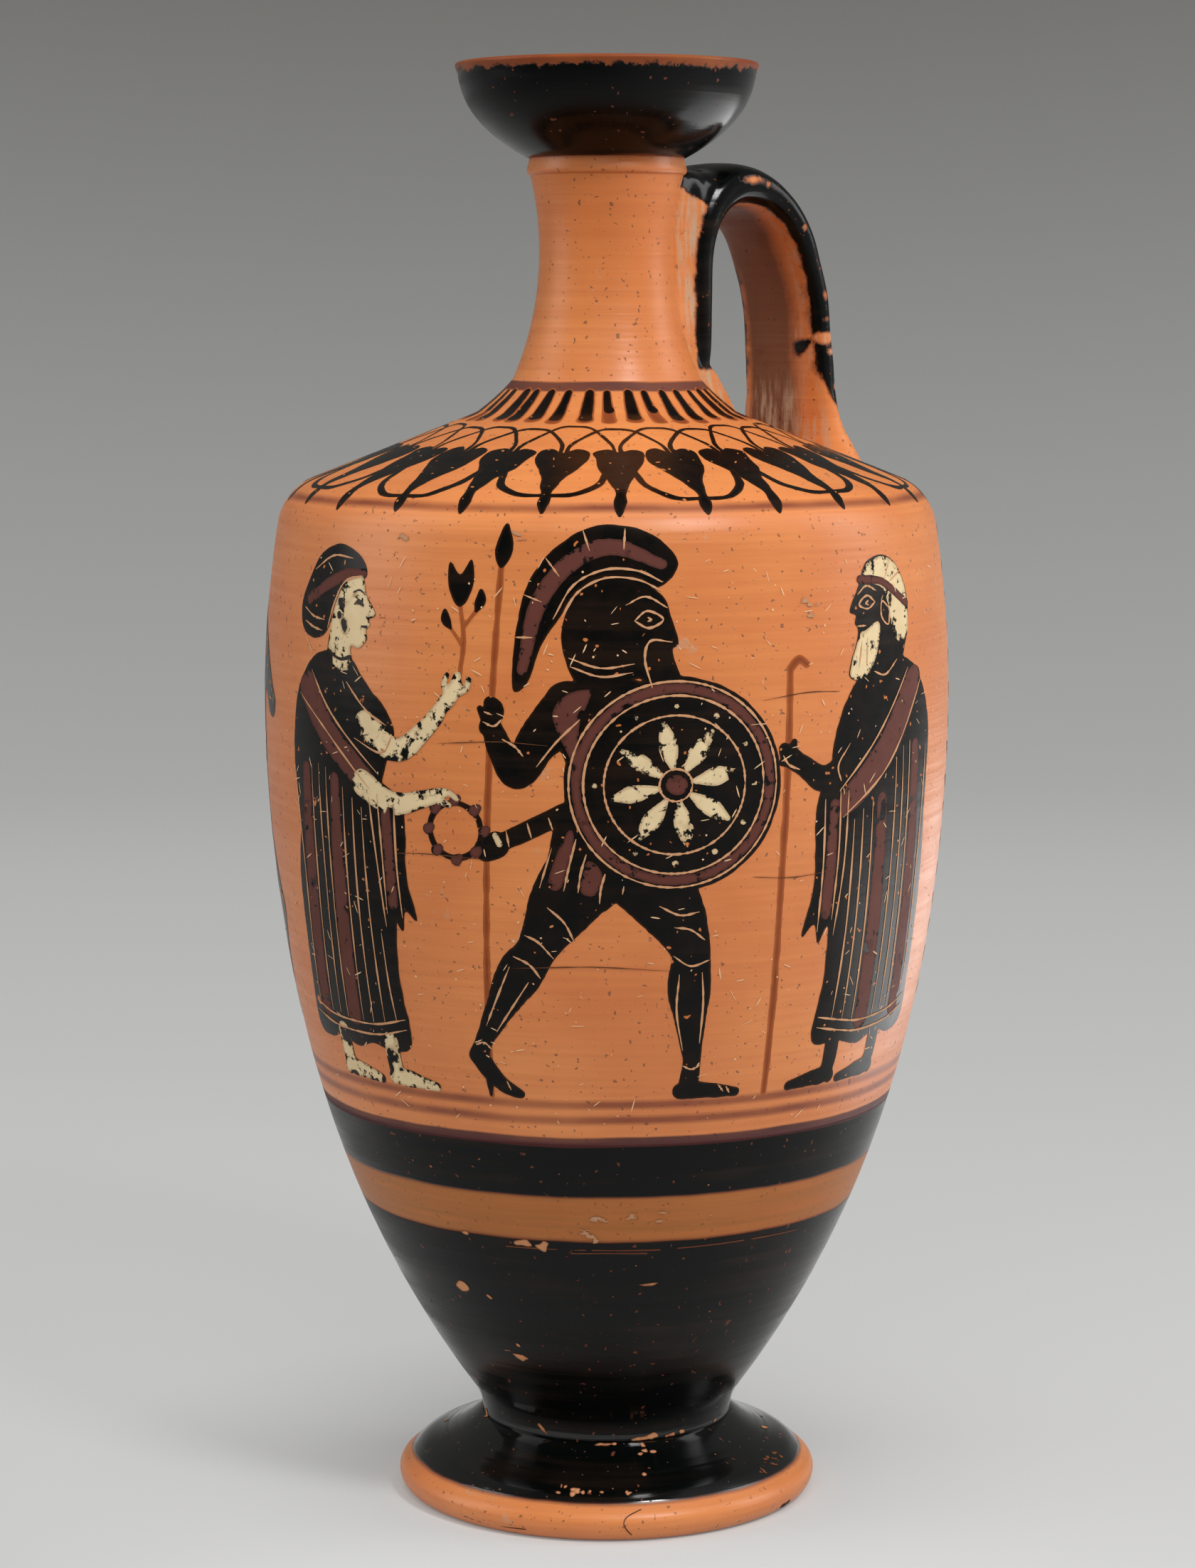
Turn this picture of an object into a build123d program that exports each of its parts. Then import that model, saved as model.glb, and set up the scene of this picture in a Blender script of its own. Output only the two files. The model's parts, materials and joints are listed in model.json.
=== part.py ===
from build123d import *
from math import cos, radians, sin, sqrt, tan
import os

# A shoulder lekythos: a thrown clay oil flask with a strap handle, as pieces joined with luting clay.
# The axis is +Z, the foot stands on z = 0 and the handle is on the +Y side.
# Driving dimensions, in millimetres and degrees.

# Foot, a thrown disc with a sloping top and a rounded edge
foot_height = 11.2
foot_stem_radius = 20.0
foot_radius = 32.5
foot_edge_height = 2.8
foot_edge_turn_in = 0.9
foot_edge_turn_up = 1.7
foot_rest_radius = 30.4
foot_rest_width = 6.4
foot_recess_depth = 3.2

# Body, one thrown shell: radii of the outside, and the rise from each of them to the next
body_base_radius = 17.4
body_base_flare = 0.79
shank_rise = 28.0
shank_radius = 34.9
hip_rise = 35.0
hip_radius = 47.0
belly_rise = 45.0
belly_radius = 52.3
edge_rise = 36.0
edge_radius = 49.4
edge_lean = 0.165
edge_round = 9.0
shoulder_slope = 21.5
collar_slope = 34.0
collar_foot_radius = 20.0
collar_height = 5.0
collar_lip = 0.4
body_wall = 3.6
body_floor = 6.0
shoulder_hole_radius = 8.0

# Neck, a tube drawn in to a waist
neck_waist_radius = 10.25
neck_curve_radius = 48.0
neck_lower_rise = 18.6
neck_upper_rise = 11.4
throat_radius = 7.0

# Mouth, a cup on the ridge that tops the neck
ridge_height = 2.5
ridge_bulge = 0.35
mouth_base_radius = 11.9
mouth_height = 14.1
mouth_base_flare = 59.0
rim_radius = 22.9
rim_round_height = 0.6
rim_round_width = 0.6
rim_inner_radius = 20.0
rim_inner_drop = 0.4
cup_floor_height = 3.0
cup_floor_flare = 70.0

# Handle, a pulled strap that runs up the neck, arches over and stands on the shoulder
strap_width = 17.0
strap_thickness = 4.0
strap_edge_round = 1.7
strap_reach = 37.2
strap_lean = 2.0
strap_crown_rise = 0.1
strap_inner_bend = 7.5
strap_crown_bend = 13.0
strap_crown_turn = 45.0
strap_leg_foot = 1.5
root_height = 11.0
root_widening = 8.0
root_thickening = 10.0
root_kick = 2.8
root_sections = 5
root_bury = 5.0

# Luting, the soft clay and slip worked into each join
luting_bed = 0.8
strap_luting_gap = 0.9
neck_cut_clearance = 0.5
foot_fillet_height = 2.4
web_side_inset = 0.7
web_top_drop = 1.4
pad_margin = 1.3

# Heights worked out from the dimensions, from the floor up
z_body = foot_height + luting_bed
z_shank = z_body + shank_rise
z_hip = z_shank + hip_rise
z_belly = z_hip + belly_rise
z_edge = z_belly + edge_rise
shoulder_pitch = tan(radians(shoulder_slope))
z_collar_foot = z_edge + (edge_radius - collar_foot_radius) * shoulder_pitch
z_collar = z_collar_foot + collar_height
z_neck = z_collar + luting_bed
z_waist = z_neck + neck_lower_rise
z_ridge = z_waist + neck_upper_rise
z_mouth = z_ridge + ridge_height
z_rim = z_mouth + mouth_height


def neck_radius(rise):
    """Outer radius of the neck at a height above or below its waist."""
    return neck_waist_radius + neck_curve_radius - sqrt(neck_curve_radius**2 - rise**2)


neck_foot_radius = neck_radius(neck_lower_rise)
neck_top_radius = neck_radius(neck_upper_rise)
collar_radius = neck_foot_radius + collar_lip


def at(radius, height):
    """A point of a turned outline."""
    return Vector(radius, 0, height)


def beside(reach, height):
    """A point in the handle's upright plane."""
    return Vector(0, reach, height)


def turned(*outline):
    """The solid that a closed outline makes when it is turned once about the axis."""
    return revolve(make_face(outline), Axis.Z)


def chain(*points):
    """Straight lines from each point to the next."""
    return [Line(start, end) for start, end in zip(points, points[1:])]


def foot_piece():
    """The disc foot, hollowed below so that it stands on a flat ring."""
    rest_inner = foot_rest_radius - foot_rest_width
    recess = TangentArc(at(0, foot_recess_depth), at(rest_inner, 0), tangent=(1, 0, 0))
    rest = Line(at(rest_inner, 0), at(foot_rest_radius, 0))
    widest = at(foot_radius, foot_edge_height)
    under = TangentArc(widest, at(foot_rest_radius, 0), tangent=(0, 0, -1))
    turn = at(foot_radius - foot_edge_turn_in, foot_edge_height + foot_edge_turn_up)
    edge = TangentArc(widest, turn, tangent=(0, 0, 1))
    top = TangentArc(turn, at(foot_stem_radius, foot_height), tangent=edge % 1)
    inside = chain(at(foot_stem_radius, foot_height), at(0, foot_height), at(0, foot_recess_depth))
    return turned(recess, rest, under, edge, top, *inside)


def body_form():
    """The body's outer form, filled: wall, rounded edge, sloping shoulder and collar."""
    wall = Spline(
        at(body_base_radius, z_body),
        at(shank_radius, z_shank),
        at(hip_radius, z_hip),
        at(belly_radius, z_belly),
        at(edge_radius, z_edge),
        tangents=[at(body_base_flare, 1), at(-edge_lean, 1)],
    )
    shoulder = Line(at(edge_radius, z_edge), at(collar_foot_radius, z_collar_foot))
    pitch = radians(collar_slope)
    collar_start = at(collar_foot_radius, z_collar_foot)
    collar = TangentArc(collar_start, at(collar_radius, z_collar), tangent=at(-cos(pitch), sin(pitch)))
    inside = chain(at(collar_radius, z_collar), at(0, z_collar), at(0, z_body), at(body_base_radius, z_body))
    form = turned(wall, shoulder, collar, *inside)
    corner = form.edges().sort_by_distance(at(edge_radius, z_edge))[0]
    return fillet(corner, edge_round)


def body_hollow():
    """The space inside the body, up through the hole in the shoulder."""
    z_floor = z_body + body_floor
    floor_radius = body_base_radius + body_base_flare * body_floor - body_wall
    top_radius = edge_radius - body_wall
    z_top = z_edge - body_wall
    wall = Spline(
        at(floor_radius, z_floor),
        at(shank_radius - body_wall, z_shank),
        at(hip_radius - body_wall, z_hip),
        at(belly_radius - body_wall, z_belly),
        at(top_radius, z_top),
    )
    z_hole = z_top + (top_radius - shoulder_hole_radius) * shoulder_pitch
    rest = chain(
        at(top_radius, z_top),
        at(shoulder_hole_radius, z_hole),
        at(shoulder_hole_radius, z_collar),
        at(0, z_collar),
        at(0, z_floor),
        at(floor_radius, z_floor),
    )
    return turned(wall, *rest)


def neck_form(clearance=0):
    """The neck's outer form, filled, and wider all round by a clearance."""
    side = ThreePointArc(
        at(neck_foot_radius + clearance, z_neck),
        at(neck_waist_radius + clearance, z_waist),
        at(neck_top_radius + clearance, z_ridge),
    )
    inside = chain(
        at(neck_top_radius + clearance, z_ridge),
        at(0, z_ridge),
        at(0, z_neck),
        at(neck_foot_radius + clearance, z_neck),
    )
    return turned(side, *inside)


def throat(start, end):
    """The cylinder of the throat between two heights."""
    return Pos(0, 0, start) * Cylinder(throat_radius, end - start, align=(Align.CENTER, Align.CENTER, Align.MIN))


def ridge_form():
    """The bead of clay between neck and mouth, filled."""
    middle = (neck_top_radius + mouth_base_radius) / 2 + ridge_bulge
    bead = ThreePointArc(
        at(neck_top_radius, z_ridge),
        at(middle, (z_ridge + z_mouth) / 2),
        at(mouth_base_radius, z_mouth),
    )
    inside = chain(at(mouth_base_radius, z_mouth), at(0, z_mouth), at(0, z_ridge), at(neck_top_radius, z_ridge))
    return turned(bead, *inside)


def mouth_piece():
    """The cup mouth, with a rounded lip and a funnel down to the throat."""
    flare = radians(mouth_base_flare)
    lip_start = at(rim_radius, z_rim - rim_round_height)
    outside = TangentArc(at(mouth_base_radius, z_mouth), lip_start, tangent=at(sin(flare), cos(flare)))
    lip_end = at(rim_radius - rim_round_width, z_rim)
    lip = TangentArc(lip_start, lip_end, tangent=outside % 1)
    cup_edge = at(rim_inner_radius, z_rim - rim_inner_drop)
    rim = Line(lip_end, cup_edge)
    funnel = radians(cup_floor_flare)
    cup_floor = at(throat_radius, z_mouth + cup_floor_height)
    cup = TangentArc(cup_floor, cup_edge, tangent=at(sin(funnel), cos(funnel)))
    inside = chain(cup_floor, at(throat_radius, z_mouth), at(mouth_base_radius, z_mouth))
    return turned(outside, lip, rim, cup, *inside)


def neck_luting_piece():
    """The slip ring between the collar and the foot of the neck."""
    return turned(
        *chain(
            at(throat_radius, z_collar),
            at(collar_radius, z_collar),
            at(neck_foot_radius, z_neck),
            at(throat_radius, z_neck),
            at(throat_radius, z_collar),
        )
    )


def foot_luting_piece(body):
    """The slip disc between foot and body, with the fillet worked round the join."""
    z_top = z_body + foot_fillet_height
    fillet_radius = body_base_radius + body_base_flare * foot_fillet_height
    blank = turned(
        *chain(
            at(0, foot_height),
            at(foot_stem_radius, foot_height),
            at(fillet_radius, z_top),
            at(0, z_top),
            at(0, foot_height),
        )
    )
    return blank - body


# The strap's centre line, in the handle's plane
strap_leg = neck_waist_radius + strap_luting_gap + strap_thickness / 2
z_crown = z_ridge + strap_crown_rise
z_leg_top = z_crown - strap_inner_bend
crown_reach = strap_leg + strap_inner_bend
crown_turn = radians(strap_crown_turn)
crown_end_reach = crown_reach + strap_crown_bend * sin(crown_turn)
z_crown_end = z_crown - strap_crown_bend * (1 - cos(crown_turn))
outer_chord = radians((strap_crown_turn + 90 - strap_lean) / 2)
z_outer_bend = z_crown_end - (strap_reach - crown_end_reach) * tan(outer_chord)
z_shoulder_at_strap = z_edge + (edge_radius - strap_reach) * shoulder_pitch
outer_leg_drop = z_outer_bend - z_shoulder_at_strap - root_height
lean_step = Vector(0, sin(radians(strap_lean)), -cos(radians(strap_lean)))

leg_foot = beside(strap_leg, z_neck + strap_leg_foot)
leg_top = beside(strap_leg, z_leg_top)
crown = beside(crown_reach, z_crown)
crown_end = beside(crown_end_reach, z_crown_end)
outer_bend_end = beside(strap_reach, z_outer_bend)
root_start = outer_bend_end + lean_step * outer_leg_drop
root_foot = root_start + lean_step * root_height


def strap_section(place, growth=0):
    """The strap's flat rounded section; growth from 0 to 1 swells it towards the root's buried end."""
    width = strap_width + root_widening * growth
    thickness = strap_thickness + root_thickening * growth
    corner = strap_edge_round * thickness / strap_thickness
    return place * RectangleRounded(width, thickness, corner)


def root_growth(depth):
    """How far the root has swelled, from 0 to 1, at a depth below its start."""
    return (depth / (root_height + root_bury)) ** 2


def strap_form():
    """The whole strap with its flared root, before it is pressed against neck and shoulder."""
    inner_bend = TangentArc(leg_top, crown, tangent=(0, 0, 1))
    crown_bend = TangentArc(crown, crown_end, tangent=(0, 1, 0))
    outer_bend = TangentArc(crown_end, outer_bend_end, tangent=crown_bend % 1)
    outer_leg = Line(outer_bend_end, root_start)
    route = Wire([Line(leg_foot, leg_top), inner_bend, crown_bend, outer_bend, outer_leg])
    strap = sweep(strap_section(Plane(leg_foot, x_dir=(1, 0, 0), z_dir=(0, 0, 1))), path=route)
    sections = []
    for step in range(root_sections):
        depth = (root_height + root_bury) * step / (root_sections - 1)
        growth = root_growth(depth)
        centre = root_start + lean_step * depth + beside(root_kick * growth, 0)
        place = Plane(centre, x_dir=(1, 0, 0), z_dir=-lean_step)
        sections.append(strap_section(place, growth))
    return strap + loft(sections)


def web_form():
    """The clay that backs the strap along the neck, before the neck and the strap are cut from it."""
    z_top = z_ridge - web_top_drop
    bend = TangentArc(leg_top, crown, tangent=(0, 0, 1))
    rest = chain(crown, beside(0, z_top), beside(0, leg_foot.Z), leg_foot, leg_top)
    side = make_face([bend, *rest])
    return extrude(side, strap_width / 2 - web_side_inset, both=True)


def shoulder_cone(lift):
    """Everything below the shoulder's slope, carried past the rounded edge and raised by a lift."""
    far = edge_radius + strap_width
    z_far = z_edge + (edge_radius - far) * shoulder_pitch + lift
    z_axis = z_edge + edge_radius * shoulder_pitch + lift
    z_low = z_far - edge_rise
    return turned(*chain(at(0, z_low), at(far, z_low), at(far, z_far), at(0, z_axis), at(0, z_low)))


def pad_blank():
    """An upright block with the outline of the root where it meets the shoulder, and a margin round it."""
    growth = root_growth(root_height)
    width = strap_width + root_widening * growth + 2 * pad_margin
    depth = strap_thickness + root_thickening * growth + 2 * pad_margin
    outline = RectangleRounded(width, depth, strap_edge_round * depth / strap_thickness)
    return extrude(Pos(0, root_foot.Y + root_kick * growth, z_belly) * outline, z_ridge - z_belly)


body_filled = body_form()
neck_filled = neck_form()
ridge_filled = ridge_form()
shoulder_bed = shoulder_cone(luting_bed)

handle = strap_form() - neck_form(neck_cut_clearance) - shoulder_bed
pieces = {
    "foot": foot_piece(),
    "foot_luting_ring": foot_luting_piece(body_filled),
    "body": body_filled - body_hollow(),
    "neck_luting_ring": neck_luting_piece(),
    "neck": neck_filled - throat(z_neck, z_ridge),
    "mouth_luting_ring": ridge_filled - throat(z_ridge, z_mouth),
    "mouth": mouth_piece(),
    "handle": handle,
    "handle_neck_luting": web_form() - neck_filled - ridge_filled - handle,
    "handle_shoulder_luting": (pad_blank() & shoulder_bed) - body_filled,
}

os.makedirs("parts", exist_ok=True)
for name, piece in pieces.items():
    export_step(piece, f"parts/{name}.step")
    print(name, len(piece.solids()), "solid", round(piece.volume), "cubic mm")
print("height", round(z_rim, 2), "widest radius", belly_radius)
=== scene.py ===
# %% [markdown]
# # A black-figure oil flask (lekythos), 220 mm tall
# The real flask was thrown in parts on a wheel, joined with wet clay, painted with a fine clay slip
# that fires to a black gloss, scratched with a point, and touched up in dull red and cream white.
# The frame loaded here holds the turned solids. The cells below measure those solids, turn smooth
# skins from them, model the hand-pulled strap handle, and then paint and age the surface.

# %% Load the fixed frame
import json
import math

import bmesh
import bpy
import numpy as np
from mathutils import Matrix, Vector

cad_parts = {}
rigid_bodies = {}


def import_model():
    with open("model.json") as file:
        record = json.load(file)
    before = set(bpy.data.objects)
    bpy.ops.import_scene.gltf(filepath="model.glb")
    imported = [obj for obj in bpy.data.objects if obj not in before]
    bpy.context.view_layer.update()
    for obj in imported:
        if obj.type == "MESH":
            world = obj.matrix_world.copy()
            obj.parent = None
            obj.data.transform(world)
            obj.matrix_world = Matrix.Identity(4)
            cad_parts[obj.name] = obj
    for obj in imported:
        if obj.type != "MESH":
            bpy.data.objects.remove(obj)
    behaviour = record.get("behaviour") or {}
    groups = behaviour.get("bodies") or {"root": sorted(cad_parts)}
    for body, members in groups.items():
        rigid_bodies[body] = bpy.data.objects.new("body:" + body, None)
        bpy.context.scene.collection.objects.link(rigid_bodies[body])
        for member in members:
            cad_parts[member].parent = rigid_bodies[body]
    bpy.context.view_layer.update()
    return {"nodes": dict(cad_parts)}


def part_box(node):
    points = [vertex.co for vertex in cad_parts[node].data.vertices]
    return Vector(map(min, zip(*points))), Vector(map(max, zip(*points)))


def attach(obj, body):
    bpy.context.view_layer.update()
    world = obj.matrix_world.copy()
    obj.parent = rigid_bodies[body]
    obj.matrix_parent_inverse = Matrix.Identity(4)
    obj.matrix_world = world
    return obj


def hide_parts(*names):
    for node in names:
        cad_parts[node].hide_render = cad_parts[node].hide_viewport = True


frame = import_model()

MM = 0.001

# %% [markdown]
# ## Reading the potter's profile
# Everything but the handle came off a wheel, so one line from the axis outwards describes it all.
# The line could be typed in again, but the solids already hold it. Cutting each solid through its axis
# gives the line exactly, and the skins then follow the solids if their sizes change.

# %% Cut the turned solids through their axis
AXIS = 1e-3


def half_section(node, turn=0.7):
    """Cuts a turned solid through its axis; gives the cut line as (radius, height) in mm."""
    mesh = frame["nodes"][node].data
    mesh.calc_loop_triangles()
    spots = np.empty(len(mesh.vertices) * 3)
    mesh.vertices.foreach_get("co", spots)
    spots = spots.reshape(-1, 3) / MM
    _, ident = np.unique(np.round(spots, 3), axis=0, return_inverse=True)
    ident = ident.reshape(-1)
    side = spots[:, 0] * math.cos(turn) + spots[:, 1] * math.sin(turn) + 1e-7
    out = spots[:, 1] * math.cos(turn) - spots[:, 0] * math.sin(turn)
    places, links = {}, {}
    for triangle in mesh.loop_triangles:
        ends = []
        corners = triangle.vertices
        for p, q in zip(corners, (corners[1], corners[2], corners[0])):
            if (side[p] < 0) == (side[q] < 0):
                continue
            t = side[p] / (side[p] - side[q])
            radius = out[p] + t * (out[q] - out[p])
            height = spots[p, 2] + t * (spots[q, 2] - spots[p, 2])
            ends.append((tuple(sorted((ident[p], ident[q]))), radius, height))
        if len(ends) != 2 or max(end[1] for end in ends) < AXIS:
            continue
        keys = []
        for key, radius, height in ends:
            if radius < AXIS:
                key, radius = ("axis", round(height, 1)), 0.0
            places[key] = (radius, height)
            keys.append(key)
        links.setdefault(keys[0], []).append(keys[1])
        links.setdefault(keys[1], []).append(keys[0])
    on_axis = [key for key in links if key[0] == "axis"]
    here = min(on_axis, key=lambda key: places[key][1]) if on_axis else next(iter(links))
    line, seen = [], set()
    while here is not None:
        seen.add(here)
        if not line or math.dist(line[-1], places[here]) > 0.004:
            line.append(places[here])
        here = next((key for key in links[here] if key not in seen), None)
    return np.array(line)


TURNED = ["body", "neck", "mouth", "foot", "mouth_luting_ring", "neck_luting_ring", "foot_luting_ring"]
sections = {node: half_section(node) for node in TURNED}
print("section points:", {node: len(line) for node, line in sections.items()})

# %% Fair and thin a cut line
def faired(line, step, corner=24):
    """Puts points every `step` mm along a cut line. Curves stay curves and corners stay corners."""
    closed = line[0][0] > AXIS
    if closed:
        before, after = line - np.roll(line, 1, 0), np.roll(line, -1, 0) - line
        bend = np.abs(np.arctan2(before[:, 0] * after[:, 1] - before[:, 1] * after[:, 0],
                                 (before * after).sum(1)))
        line = np.roll(line, -int(bend.argmax()), 0)
        line = np.vstack([line, line[:1]])
    gap = np.diff(line, axis=0)
    length = np.hypot(gap[:, 0], gap[:, 1])
    way = gap / length[:, None]
    points = []
    for i in range(len(gap)):
        start, end = way[i], way[i]
        if i > 0 and way[i] @ way[i - 1] > math.cos(math.radians(corner)):
            start = (line[i + 1] - line[i - 1]) / (length[i] + length[i - 1])
        if i + 1 < len(gap) and way[i] @ way[i + 1] > math.cos(math.radians(corner)):
            end = (line[i + 2] - line[i]) / (length[i] + length[i + 1])
        for t in np.arange(0, 1, 1 / max(1, math.ceil(length[i] / step))):
            points.append((2 * t**3 - 3 * t**2 + 1) * line[i] + (3 * t**2 - 2 * t**3) * line[i + 1]
                          + length[i] * ((t**3 - 2 * t**2 + t) * start + (t**3 - t**2) * end))
    return np.array(points if closed else points + [line[-1]])


def thinned(line, gap):
    """Drops points nearer than `gap` mm to the last kept one, unless the line turns a corner there."""
    way = np.diff(line, axis=0)
    way /= np.hypot(way[:, 0], way[:, 1])[:, None]
    turns = np.concatenate([[1.0], 1 - (way[1:] * way[:-1]).sum(1), [1.0]]) > 0.02
    kept = [line[0]]
    for point, corner in zip(line[1:], turns[1:]):
        if corner or math.dist(kept[-1], point) >= gap:
            kept.append(point)
    return np.array(kept)


print("points on the faired neck:", len(faired(sections["neck"], 0.8)))

# %% The outer wall of the body as one measured line
wall = faired(sections["body"], 0.25)
wall = wall[: int(np.argmax(wall[:, 1] > wall[:, 1].max() - 0.01)) + 1]
wall = wall[int(np.argmax(wall[:, 0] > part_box("foot")[1][0] / MM * 0.5)):]
wall_r, wall_z = wall.T
wall_s = np.concatenate([[0], np.cumsum(np.hypot(np.diff(wall_r), np.diff(wall_z)))])


def lathe_place(line):
    """A function that puts points on a turned line: angle, mm along the line, mm above its surface."""
    s = np.concatenate([[0], np.cumsum(np.hypot(*np.diff(line, axis=0).T))])
    way = np.gradient(line, s, axis=0)
    way /= np.hypot(way[:, 0], way[:, 1])[:, None]

    def place(angle, along, lift):
        radius = np.interp(along, s, line[:, 0]) + lift * np.interp(along, s, way[:, 1])
        height = np.interp(along, s, line[:, 1]) - lift * np.interp(along, s, way[:, 0])
        return np.column_stack([radius * np.cos(angle), radius * np.sin(angle), height]) * MM

    return place


on_wall = lathe_place(wall)


def along_at_height(height):
    """Where the wall passes a height, as mm along the wall."""
    return float(np.interp(height, wall_z, wall_s))


print("wall %.1f mm long, widest radius %.2f mm" % (wall_s[-1], wall_r.max()))

# %% [markdown]
# ## Node helper and colours
# A material is a small network of nodes. One helper adds a node, sets it, and fills or links its
# inputs, so each material below reads as a list of what it is made of. Colours are written as the sRGB
# values that an eye would pick from the pot, and turned to linear light in one place.

# %% One helper for nodes, one for colours
NOISE, RANGE, MIX = "ShaderNodeTexNoise", "ShaderNodeMapRange", "ShaderNodeMix"
MATH, VECTOR, JOIN = "ShaderNodeMath", "ShaderNodeVectorMath", "ShaderNodeCombineXYZ"
CARRIED, GROUP = "ShaderNodeAttribute", "ShaderNodeGroup"
RANDOM, ALIGN = "FunctionNodeRandomValue", "FunctionNodeAlignRotationToVector"
COLOUR, NUMBER, WHOLE = "NodeSocketColor", "NodeSocketFloat", "NodeSocketInt"
FINISH, SHAPE = "NodeSocketMaterial", "NodeSocketGeometry"


def add(tree, kind, inputs=None, **settings):
    """Adds a node, sets it, and fills or links its inputs; a node given as input links its first output."""
    made = tree.nodes.new(kind)
    for key, value in settings.items():
        setattr(made, key, value)
    for key, value in (inputs or {}).items():
        if isinstance(value, bpy.types.Node):
            value = next(socket for socket in value.outputs if socket.enabled)
        if isinstance(value, bpy.types.NodeSocket):
            tree.links.new(value, made.inputs[key])
        else:
            made.inputs[key].default_value = value
    return made


def paint(code):
    """An sRGB hex colour as linear RGBA."""
    parts = [int(code[i:i + 2], 16) / 255 for i in (1, 3, 5)]
    return (*[c / 12.92 if c <= 0.04045 else ((c + 0.055) / 1.055) ** 2.4 for c in parts], 1.0)


print("fired orange in linear light:", [round(c, 3) for c in paint("#CC7740")])

# %% [markdown]
# ## Fired clay
# The pot's own skin is iron-rich clay, levigated, burnished while leather hard and fired to orange.
# Burnishing on the wheel leaves fine level streaks; the clay keeps dark grits, small pits and, after
# centuries in the ground, grey crusts. All sizes below are in millimetres on the pot.

# %% A node group for the clay
def measured_space(tree):
    """Object coordinates in millimetres, and the same squeezed flat so that noise makes level streaks."""
    spot = add(tree, "ShaderNodeTexCoord").outputs["Object"]
    space = add(tree, VECTOR, {0: spot, 3: 1000.0}, operation="SCALE")
    return space, add(tree, VECTOR, {0: space, 1: (0.03, 0.03, 1.0)}, operation="MULTIPLY")


def new_tree(name, kind, inputs=(), outputs=()):
    """An empty node group with the given inputs and outputs, each (label, kind of socket)."""
    tree = bpy.data.node_groups.new(name, kind)
    for way, sockets in (("INPUT", inputs), ("OUTPUT", outputs)):
        for label, socket in sockets:
            tree.interface.new_socket(label, in_out=way, socket_type=socket)
    return tree


SKIN_OUTPUTS = [("Colour", COLOUR), ("Roughness", NUMBER), ("Height", NUMBER)]


def fired_clay_group():
    """Colour, roughness and height of burnished orange clay; its grits are drawn coarse enough to show."""
    tree = new_tree("fired_clay", "ShaderNodeTree", outputs=SKIN_OUTPUTS)
    space, level = measured_space(tree)
    cloud = add(tree, NOISE, {"Vector": space, "Scale": 1 / 30, "Detail": 4.0})
    broad = add(tree, RANGE, {"Value": cloud, 1: 0.35, 2: 0.68})
    body = add(tree, MIX, {0: broad, 6: paint("#CC7740"), 7: paint("#DB8A4E")}, data_type="RGBA")
    burnish = add(tree, NOISE, {"Vector": level, "Scale": 1 / 0.9, "Detail": 3.0})
    streak = add(tree, RANGE, {"Value": burnish, 1: 0.3, 2: 0.7, 3: 0.0, 4: 0.34})
    grit = add(tree, NOISE, {"Vector": space, "Scale": 1 / 0.75, "Detail": 1.0})
    speck = add(tree, RANGE, {"Value": grit, 1: 0.685, 2: 0.74, 4: 0.75})
    soil = add(tree, NOISE, {"Vector": space, "Scale": 1 / 11, "Detail": 7.0, "Roughness": 0.72})
    crust = add(tree, RANGE, {"Value": soil, 1: 0.65, 2: 0.73, 4: 0.6})
    for mask, code in ((streak, "#B5602F"), (speck, "#71472F"), (crust, "#B39F86")):
        body = add(tree, MIX, {0: mask, 6: body, 7: paint(code)}, data_type="RGBA")
    rough = add(tree, RANGE, {"Value": burnish, 3: 0.3, 4: 0.48})
    high = add(tree, MATH, {0: burnish, 1: speck}, operation="SUBTRACT")
    high = add(tree, MATH, {0: crust, 1: 0.8, 2: high}, operation="MULTIPLY_ADD")
    add(tree, "NodeGroupOutput", {0: body, 1: rough, 2: high})
    return tree


clay_group = fired_clay_group()
print("clay nodes:", len(clay_group.nodes))

# %% [markdown]
# ## Black gloss
# The black is a very fine clay slip that sinters to a thin glossy skin. It was brushed on while the
# wheel turned, so it has level brush streaks, goes brown where it is thin, and flakes off in small
# sharp-edged chips that show the clay.

# %% A node group for the black gloss
def black_gloss_group():
    """Colour, roughness and height of the gloss, and where it has flaked off."""
    tree = new_tree("black_gloss", "ShaderNodeTree", outputs=SKIN_OUTPUTS + [("Flaked", NUMBER)])
    space, level = measured_space(tree)
    brush = add(tree, NOISE, {"Vector": level, "Scale": 1 / 1.6, "Detail": 4.0})
    cloud = add(tree, NOISE, {"Vector": space, "Scale": 1 / 16, "Detail": 3.0})
    thin = add(tree, MATH, {0: brush, 1: cloud}, operation="MULTIPLY")
    thin = add(tree, RANGE, {"Value": thin, 1: 0.27, 2: 0.42})
    black = add(tree, MIX, {0: thin, 6: paint("#050706"), 7: paint("#1B120C")}, data_type="RGBA")
    sheet = add(tree, VECTOR, {0: space, 1: (0.14, 0.14, 1.0)}, operation="MULTIPLY")
    dull = add(tree, NOISE, {"Vector": sheet, "Scale": 1 / 9, "Detail": 4.0})
    dull = add(tree, RANGE, {"Value": dull, 1: 0.48, 2: 0.6, 3: 0.17, 4: 0.33})
    rough = add(tree, RANGE, {"Value": brush, 1: 0.3, 2: 0.7, 3: -0.03, 4: 0.05})
    rough = add(tree, MATH, {0: rough, 1: dull}, operation="ADD")
    flake = add(tree, NOISE, {"Vector": space, "Scale": 1 / 5.5, "Detail": 6.0, "Roughness": 0.62})
    chips = add(tree, RANGE, {"Value": flake, 1: 0.705, 2: 0.715})
    pin = add(tree, NOISE, {"Vector": space, "Scale": 1 / 0.8, "Detail": 0.0})
    holes = add(tree, RANGE, {"Value": pin, 1: 0.8, 2: 0.82, 4: 0.8})
    worn = add(tree, MATH, {0: chips, 1: holes}, operation="MAXIMUM")
    add(tree, "NodeGroupOutput", {0: black, 1: rough, 2: brush, 3: worn})
    return tree


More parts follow.
